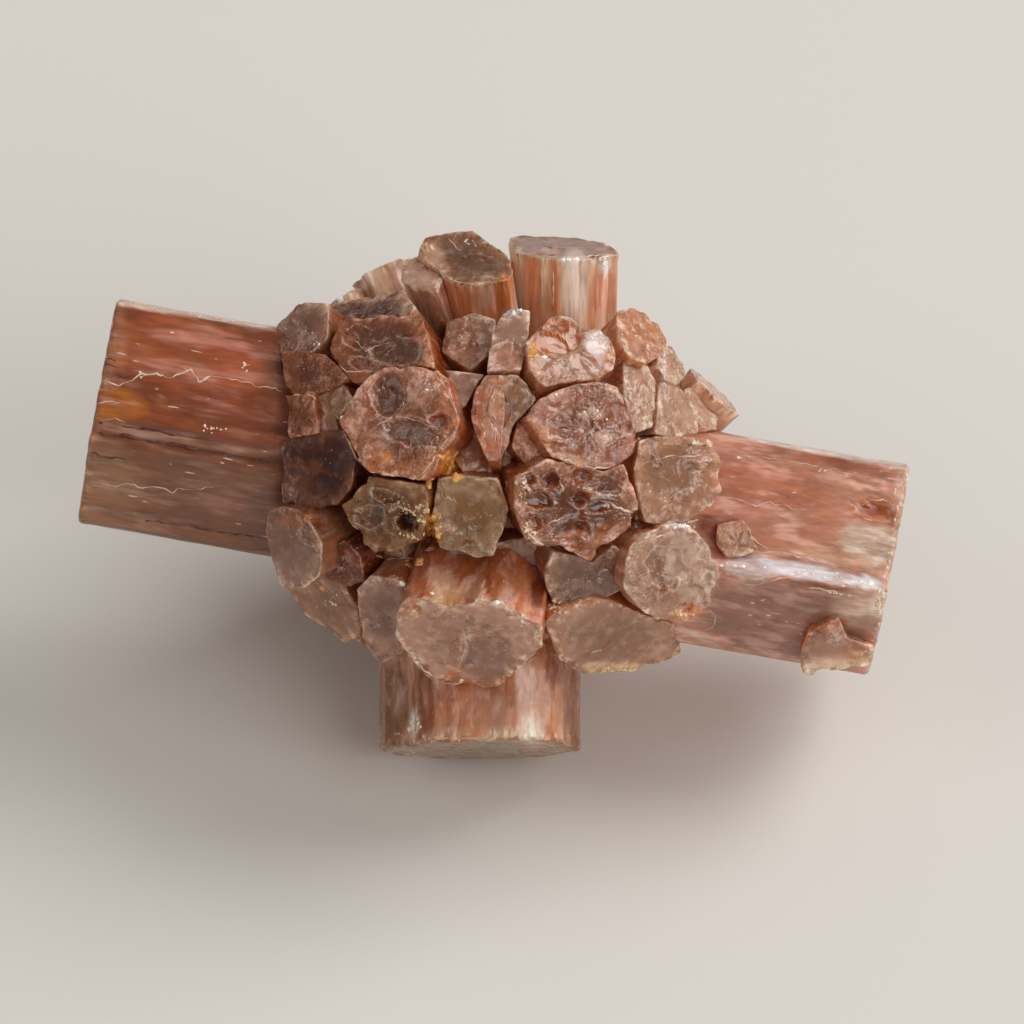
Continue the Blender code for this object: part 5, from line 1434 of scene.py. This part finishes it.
# Pale healed lines across the prisms and the tips
paleLines = {
    "step": 0.1, "sunk": 0.0, "flat": 0.6, "sides": 6, "seed": 24, "colour": (252, 226, 204),
    "dark": (226, 182, 152), "roughness": 0.4, "clear": 0.2,
    # radius, then points as (right, up) in the front view
    "lines": [
        (0.065, [(-25.4, 4.48), (-24.44, 4.96), (-23.37, 4.59), (-22.72, 4.75), (-22.18, 5.33),
                (-21.44, 5.33), (-20.37, 4.96), (-19.83, 5.28), (-19.08, 5.46), (-18.54, 4.75),
                (-17.68, 5.23), (-16.83, 4.96), (-15.33, 4.75), (-15.11, 4.48), (-13.4, 4.26)]),
        (0.03, [(-24.55, -1.42), (-23.9, -1.63), (-22.94, -1.48), (-21.87, -1.74), (-20.68, -1.74),
                (-20.15, -2.06), (-19.83, -1.74), (-18.97, -1.85), (-17.57, -1.74)]),
        (0.035, [(-25.2, 3.4), (-24.2, 3.55), (-23.4, 3.5)]),
        (0.04, [(-25.1, 2.55), (-24.3, 2.45), (-23.7, 2.5), (-23.0, 2.3)]),
        (0.03, [(15.14, 0.32), (18.75, -0.3), (20.3, -0.55), (21.65, -0.87), (23.92, -1.43)]),
        (0.03, [(13.64, -2.31), (14.62, -2.42), (15.76, -2.88), (16.58, -2.62), (17.0, -2.78),
                (17.52, -2.67), (18.04, -2.98), (18.86, -3.19)]),
        (0.05, [(19.0, -7.95), (19.48, -7.99), (20.0, -8.1), (20.5, -8.15), (21.03, -8.3),
                (22.06, -8.46)]),
        (0.045, [(14.5, -6.0), (15.5, -5.7), (16.7, -5.6), (18.5, -6.0), (21.0, -6.6), (23.0, -7.1)]),
        (0.04, [(14.5, -7.6), (15.6, -7.75), (17.0, -7.3), (18.5, -7.1), (20.3, -7.5), (22.8, -8.0)]),
        (0.04, [(22.3, -2.9), (22.9, -2.55), (23.7, -2.4), (24.4, -2.9)]),
        (0.04, [(22.4, -3.6), (23.3, -4.0), (24.2, -3.9)]),
        (0.03, [(12.9, -9.3), (13.3, -9.7), (13.2, -10.3), (12.7, -10.6)]),
        (0.04, [(13.5, -4.6), (14.0, -4.2), (14.9, -3.9)]),
        (0.05, [(15.2, -4.1), (15.8, -5.0), (16.5, -5.6)]),
        (0.05, [(-4.17, -17.14), (-2.62, -17.05), (-1.52, -17.23), (0.12, -17.41), (1.41, -17.32),
                (3.5, -17.73)]),
        (0.05, [(3.05, -11.9), (4.05, -12.5), (4.2, -13.2)]),
        (0.05, [(2.73, -12.9), (2.78, -14.1)]),
        (0.04, [(3.6, -15.9), (3.55, -17.7)]),
        (0.065, [(-5.65, 3.75), (-5.9, 3.2), (-6.3, 2.85), (-6.9, 2.35), (-7.6, 2.1)]),
        (0.045, [(-5.85, 2.5), (-4.9, 2.25), (-4.2, 1.95), (-3.1, 1.55)]),
        (0.07, [(-4.15, 5.5), (-3.35, 4.5), (-2.85, 3.35), (-2.35, 2.2)]),
        (0.05, [(-9.9, 2.5), (-9.2, 3.55), (-8.5, 4.5)]),
        (0.055, [(-9.9, 2.4), (-9.35, 1.2), (-8.8, 0.1), (-8.0, -0.75), (-6.9, -1.0), (-5.9, -1.2),
                (-5.1, -1.25)]),
        (0.05, [(-4.9, -1.1), (-4.4, -0.6), (-3.9, 0.2), (-3.4, 0.9), (-2.7, 1.6)]),
        (0.055, [(4.96, 4.6), (6.2, 4.65), (7.2, 4.3), (7.85, 3.4)]),
        (0.06, [(8.4, 1.9), (8.35, 1.2), (8.1, 0.5)]),
        (0.055, [(3.1, 0.3), (3.92, -0.1), (4.86, -0.45), (5.7, -0.6), (7.0, -0.5)]),
        (0.04, [(1.29, 4.86), (2.11, 4.12), (2.0, 3.39), (1.2, 2.2)]),
        (0.03, [(1.5, 4.5), (1.8, 3.9), (1.6, 3.2)]),
        (0.08, [(1.5, -1.0), (1.5, -1.6), (1.9, -2.0), (2.6, -1.95)]),
        (0.055, [(3.6, -1.3), (3.9, -1.9), (3.5, -2.2)]),
        (0.07, [(5.6, -2.5), (6.5, -2.65), (7.3, -3.0), (8.2, -3.3)]),
        (0.065, [(8.2, -2.7), (8.4, -3.5), (8.2, -4.2)]),
        (0.065, [(2.9, -4.0), (3.5, -3.8), (3.9, -3.5)]),
        (0.055, [(1.4, -4.0), (1.8, -4.6), (2.5, -5.2), (3.7, -5.45), (4.9, -5.9), (5.7, -6.3)]),
        (0.03, [(8.7, -0.4), (9.5, 0.0), (10.6, 0.2), (12.0, 0.15), (13.3, 0.4)]),
        (0.08, [(10.0, -4.0), (11.0, -3.95), (12.2, -3.8)]),
        (0.06, [(10.1, 6.85), (10.05, 5.6), (10.2, 4.2)]),
        (0.03, [(8.7, 4.9), (9.0, 3.6), (9.3, 2.6)]),
        (0.045, [(1.8, 6.9), (2.1, 7.8), (2.6, 8.3), (3.4, 8.7), (4.4, 8.7), (5.1, 8.0)]),
        (0.08, [(-6.3, -10.4), (-6.1, -11.2), (-5.4, -12.2), (-4.6, -13.1), (-3.6, -13.7),
                (-2.4, -13.9)]),
        (0.035, [(2.5, -11.6), (2.3, -12.1), (1.5, -12.7)]),
        (0.04, [(-2.3, -10.4), (-2.0, -11.3), (-2.4, -12.4), (-2.7, -13.4)]),
        (0.055, [(0.2, -8.9), (0.9, -9.2), (1.4, -9.8)]),
        (0.055, [(-3.2, 13.7), (-2.4, 12.85)]),
        (0.05, [(-4.4, 12.2), (-3.45, 11.5), (-2.85, 11.0), (-1.9, 10.85), (-0.5, 11.0)]),
        (0.06, [(0.85, 12.95), (2.2, 12.65), (3.6, 12.45), (4.9, 12.4), (6.1, 12.55), (7.1, 12.8)]),
        (0.05, [(0.75, 12.6), (0.8, 11.4), (0.9, 10.2)]),
        (0.04, [(2.5, 12.5), (2.65, 9.9)]),
        (0.04, [(3.3, 12.3), (3.3, 9.4)]),
        (0.05, [(-10.4, 6.4), (-9.4, 5.3), (-7.85, 5.4)]),
        (0.045, [(-7.5, 8.7), (-6.2, 8.8), (-4.95, 8.6)]),
        (0.045, [(-8.9, 7.3), (-8.2, 6.6), (-7.6, 7.0), (-6.8, 7.1)]),
        (0.05, [(7.9, -6.5), (8.4, -5.5), (9.3, -4.9), (10.6, -4.4)]),
        (0.05, [(-7.6, -6.0), (-6.3, -6.1), (-5.2, -6.2)]),
        (0.04, [(-13.2, 3.9), (-12.0, 4.1), (-11.2, 3.6)]),
    ],
}

# Dark growth lines along the left prism
darkLines = {
    "step": 0.1, "sunk": 0.0, "flat": 0.5, "sides": 6, "seed": 27, "colour": (110, 58, 38),
    "dark": (82, 42, 28), "roughness": 0.5, "clear": 0.2,
    # radius, then points as (right, up) in the front view
    "lines": [
        (0.065, [(-25.3, 2.45), (-24.33, 2.23)]),
        (0.08, [(-23.26, 2.07), (-21.33, 1.78), (-19.19, 1.42), (-17.68, 1.1)]),
        (0.1, [(-24.9, 1.6), (-23.26, 1.42), (-20.9, 1.0), (-17.9, 0.51), (-15.76, 0.14), (-13.7, -0.1)]),
        (0.065, [(-25.2, 0.45), (-24.87, 0.4), (-24.66, 0.14), (-22.94, -0.02)]),
        (0.06, [(-25.5, -1.69), (-24.4, -1.78)]),
        (0.065, [(-21.87, -3.78), (-18.97, -4.1), (-16.83, -4.58), (-14.68, -4.85)]),
        (0.065, [(-24.7, 6.23), (-23.7, 6.09)]),
        (0.065, [(-24.7, 5.87), (-23.5, 5.76)]),
        (0.065, [(-23.8, 5.3), (-22.9, 5.08), (-22.4, 5.15)]),
    ],
}

# What grains and lines share: the unevenness of both in millimetres or as shares, and their finish
grainHabit = {
    "spread": 0.55,                # how wide grains scatter, as a share of their place
    "uneven": (0.7, 1.3),
    "lumps": 1.6,                  # per radius
    "wander": (0.05, 0.09, 0.06),  # how far a line strays: aside, up, and up in finer turns
    "thickness": (0.80, 0.9),      # of a line, as a share of its radius, and how much it changes
    "thinnest": 0.22,
    "thickest": 1.7,
    "jump": 5.0,                   # a line breaks where it would bridge this many steps
    "taper": 0.25,
    "perMm": 2.5,
    "facets": 2.0,
    "mix": (0.35, 0.6),
    "bump": (0.5, 0.00008),        # strength and height in metres
    "ior": 1.55,
}


def seated(places):
    # Where the lines of sight through places of the front view meet the stone, and its normals there
    lean = Matrix.Rotation(math.radians(-cluster["lean"]), 3, "X")
    sight = (lean @ Vector((0.0, 1.0, 0.0))).normalized()
    starts = np.column_stack([places[:, 0], np.full(len(places), -40.0), places[:, 1]]) @ np.array(lean).T
    starts = (starts + (0.0, 0.0, cluster["baseReach"])) * mm
    cast = [stonePiece.ray_cast(start, sight) for start in starts]
    return (np.array([hit for hit, *_ in cast]), np.array([seat for _, seat, *_ in cast]),
            np.array([normal for _, _, normal, _ in cast]))


def meshOf(name, points, faces, smooth):
    points = np.clip(points, np.array(cadBox[0]), np.array(cadBox[1]))
    mesh = bpy.data.meshes.new(name)
    mesh.from_pydata(points, [], faces)
    mesh.polygons.foreach_set("use_smooth", np.full(len(mesh.polygons), smooth))
    return mesh


def grainMesh(name, spec):
    # Each grain is a ball whose radius follows noise, flattened along the surface it sits on
    rng = np.random.default_rng(spec["seed"])
    places = []
    for right, up, long, wide, turn, count in spec["places"]:
        cosine, sine = math.cos(math.radians(turn)), math.sin(math.radians(turn))
        spread = rng.normal(0.0, grainHabit["spread"], (count, 2)) * (long, wide)
        places.append(spread @ np.array([(cosine, sine), (-sine, cosine)]) + (right, up))
    hit, seats, normals = seated(np.vstack(places))
    seats, normals = seats[hit], normals[hit]
    rows, columns = spec["detail"]
    ball = np.vstack([sphereGrid(1.0, rows, columns).reshape(-1, 3), [(0.0, 0.0, -1.0), (0.0, 0.0, 1.0)]])
    count = len(seats)
    sizes = rng.uniform(*spec["size"], (count, 1, 1)) * rng.uniform(*grainHabit["uneven"], (count, 1, 3)) * mm
    offsets = np.arange(count)[:, None, None] * 7.7
    lumps = noiseField(ball[None] * grainHabit["lumps"] + offsets, spec["seed"])
    shapes = ball[None] * (1.0 + spec["lumpy"] * lumps[..., None]) * sizes
    shapes[..., 2] *= spec["flat"]
    side = np.cross(normals, (0.21, 0.37, 0.91))
    side /= np.linalg.norm(side, axis=1)[:, None]
    frames = np.stack([side, np.cross(normals, side), normals], axis=1)
    roots = seats - normals * sizes[:, 0, :1] * spec["sunk"]
    points = np.einsum("nij,njk->nik", shapes, frames) + roots[:, None]
    faces = gridFaces(rows, columns)[None] + np.arange(count)[:, None, None] * len(ball)
    return meshOf(name, points.reshape(-1, 3), faces.reshape(-1, 3), rows > 4)


def unevenPath(line, index, spec):
    # Even steps along a line that strays a little, and the radius at each as a share of the line's own
    walked = np.concatenate([[0.0], np.cumsum(np.linalg.norm(np.diff(line, axis=0), axis=1))])
    along = np.arange(0.0, walked[-1], spec["step"])
    path = np.column_stack([np.interp(along, walked, line[:, 0]), np.interp(along, walked, line[:, 1])])
    track, seed = placesOf(along, 0.0, 3.3 * index), spec["seed"]
    aside, up, finer = grainHabit["wander"]
    path[:, 0] += aside * noiseField(track * 3.2, seed)
    path[:, 1] += up * noiseField(track * 1.6, seed + 1) + finer * noiseField(track * 4.3, seed)
    mean, change = grainHabit["thickness"]
    thick = mean + change * noiseField(track * 2.3, seed + 2)
    return path, np.clip(thick, grainHabit["thinnest"], grainHabit["thickest"])


def lineMesh(name, spec):
    # Thin ridges: an oval section along each path, its radius and its course made uneven with noise
    points, faces, start = [], [], 0
    turn = np.linspace(0.0, 2.0 * np.pi, spec["sides"], endpoint=False)
    for index, (radius, line) in enumerate(spec["lines"]):
        path, thick = unevenPath(np.array(line), index, spec)
        thick = radius * thick
        hit, seats, normals = seated(path)
        ahead = np.gradient(seats, axis=0)
        ahead /= np.linalg.norm(ahead, axis=1)[:, None] + 1e-12
        jump = np.linalg.norm(np.diff(seats, axis=0), axis=1) > grainHabit["jump"] * spec["step"] * mm
        for part in np.split(np.arange(len(path)), np.flatnonzero(~hit[1:] | jump) + 1):
            if len(part) < 4 or not hit[part].all():
                continue
            across = np.cross(normals[part], ahead[part])
            across /= np.linalg.norm(across, axis=1)[:, None] + 1e-12
            bow = np.linspace(grainHabit["taper"], np.pi - grainHabit["taper"], len(part))
            tapered = thick[part] * np.sin(bow) ** 0.5 * mm
            ring = (np.cos(turn)[None, :, None] * across[:, None] + np.sin(turn)[None, :, None] * spec["flat"]
                    * normals[part][:, None]) * tapered[:, None, None]
            grid = ring + (seats[part] - normals[part] * radius * spec["sunk"] * mm)[:, None]
            points.append(gridPoints(grid))
            faces.append(gridFaces(len(part), spec["sides"]) + start)
            start += len(points[-1])
    return meshOf(name, np.vstack(points), np.vstack(faces), True)


def grainMaterial(name, spec):
    material, tree, shader = newMaterial(name)
    spot = newNode(tree, "ShaderNodeTexCoord").outputs["Object"]
    place = newNode(tree, "ShaderNodeMapping", {"Vector": spot, "Scale": (1.0 / mm,) * 3}).outputs[0]
    clouds, *_, height = placeSkin(tree, {
        "Place": place, "Per Millimetre": grainHabit["perMm"], "Facets": grainHabit["facets"]})
    colour = blend(tree, ramp(tree, clouds, *grainHabit["mix"]), linear(spec["dark"]), linear(spec["colour"]))
    strength, reach = grainHabit["bump"]
    bump = newNode(tree, "ShaderNodeBump", {"Height": height, "Strength": strength, "Distance": reach})
    feed(tree, shader, {
        "Base Color": colour, "Normal": bump.outputs[0], "Roughness": spec["roughness"],
        "Transmission Weight": spec["clear"], "IOR": grainHabit["ior"]})
    return material


bpy.context.view_layer.update()
for name, spec in {**looseGrains, "paleLines": paleLines, "darkLines": darkLines}.items():
    mesh = (lineMesh if "lines" in spec else grainMesh)(name, spec)
    mesh.materials.append(grainMaterial(name, spec))
    spec["piece"] = newObject(name, mesh)
    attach(spec["piece"], "root")
print("clay, crusts, flakes and lines seated")


stage = {
    "floorTone": (226, 222, 216),
    "floorSize": 6.0,
    "floorRoughness": 0.9,
    "photoWidth": 0.0638,          # metres across the photo at the stone's centre
    "aim": (0.00075, -0.00229, 0.01421),
    "away": 0.6,                   # camera to aim
    "clip": (0.01, 20.0),          # nearest and furthest that the camera sees
    "elevation": 45.0,
    "sensor": 36.0,
    "lights": [                    # place, size and power in watts
        ("keyLight", (0.95, 0.42, 1.05), 0.95, 13.5),
        ("fillLight", (0.75, -0.85, 0.85), 0.9, 7.2),
        ("leftLight", (-0.9, -0.4, 1.0), 0.7, 1.7),
    ],
    "roomTone": (0.94, 0.88, 0.81),
    "roomLight": 0.28,
}


def makeFloor():
    # A plain square, so wide that no edge of it shows
    half = stage["floorSize"] / 2
    corners = np.array([(-half, -half, 0.0), (half, -half, 0.0), (half, half, 0.0), (-half, half, 0.0)])
    mesh = bpy.data.meshes.new("floor")
    mesh.from_pydata(corners, [], [(0, 1, 2, 3)])
    floor = newObject("floor", mesh)
    material, tree, shader = newMaterial("paleFloor")
    feed(tree, shader, {"Base Color": linear(stage["floorTone"]), "Roughness": stage["floorRoughness"]})
    mesh.materials.append(material)


def makeLights():
    for name, place, size, power in stage["lights"]:
        light = bpy.data.lights.new(name, "AREA")
        light.size = size
        light.energy = power
        lamp = newObject(name, light)
        lamp.location = place
        lamp.rotation_euler = (Vector(stage["aim"]) - Vector(place)).to_track_quat("-Z", "Y").to_euler()
    world = bpy.data.worlds.new("room")
    world.use_nodes = True
    background = world.node_tree.nodes["Background"]
    feed(world.node_tree, background, {"Color": (*stage["roomTone"], 1.0), "Strength": stage["roomLight"]})
    bpy.context.scene.world = world
    bpy.context.scene.view_settings.view_transform = "Standard"


def makeCamera():
    # The photo looks down on the stone; its width at the stone's centre sets the lens
    turn = math.radians(stage["elevation"])
    camera = bpy.data.cameras.new("camera")
    camera.sensor_width = stage["sensor"]
    camera.lens = stage["sensor"] * stage["away"] / stage["photoWidth"]
    camera.clip_start, camera.clip_end = stage["clip"]
    rig = newObject("camera", camera)
    rig.location = Vector(stage["aim"]) - Vector((0.0, math.cos(turn), -math.sin(turn))) * stage["away"]
    rig.rotation_euler = (math.radians(90.0) - turn, 0.0, 0.0)
    bpy.context.scene.camera = rig


makeFloor()
makeLights()
makeCamera()
print("stage set")
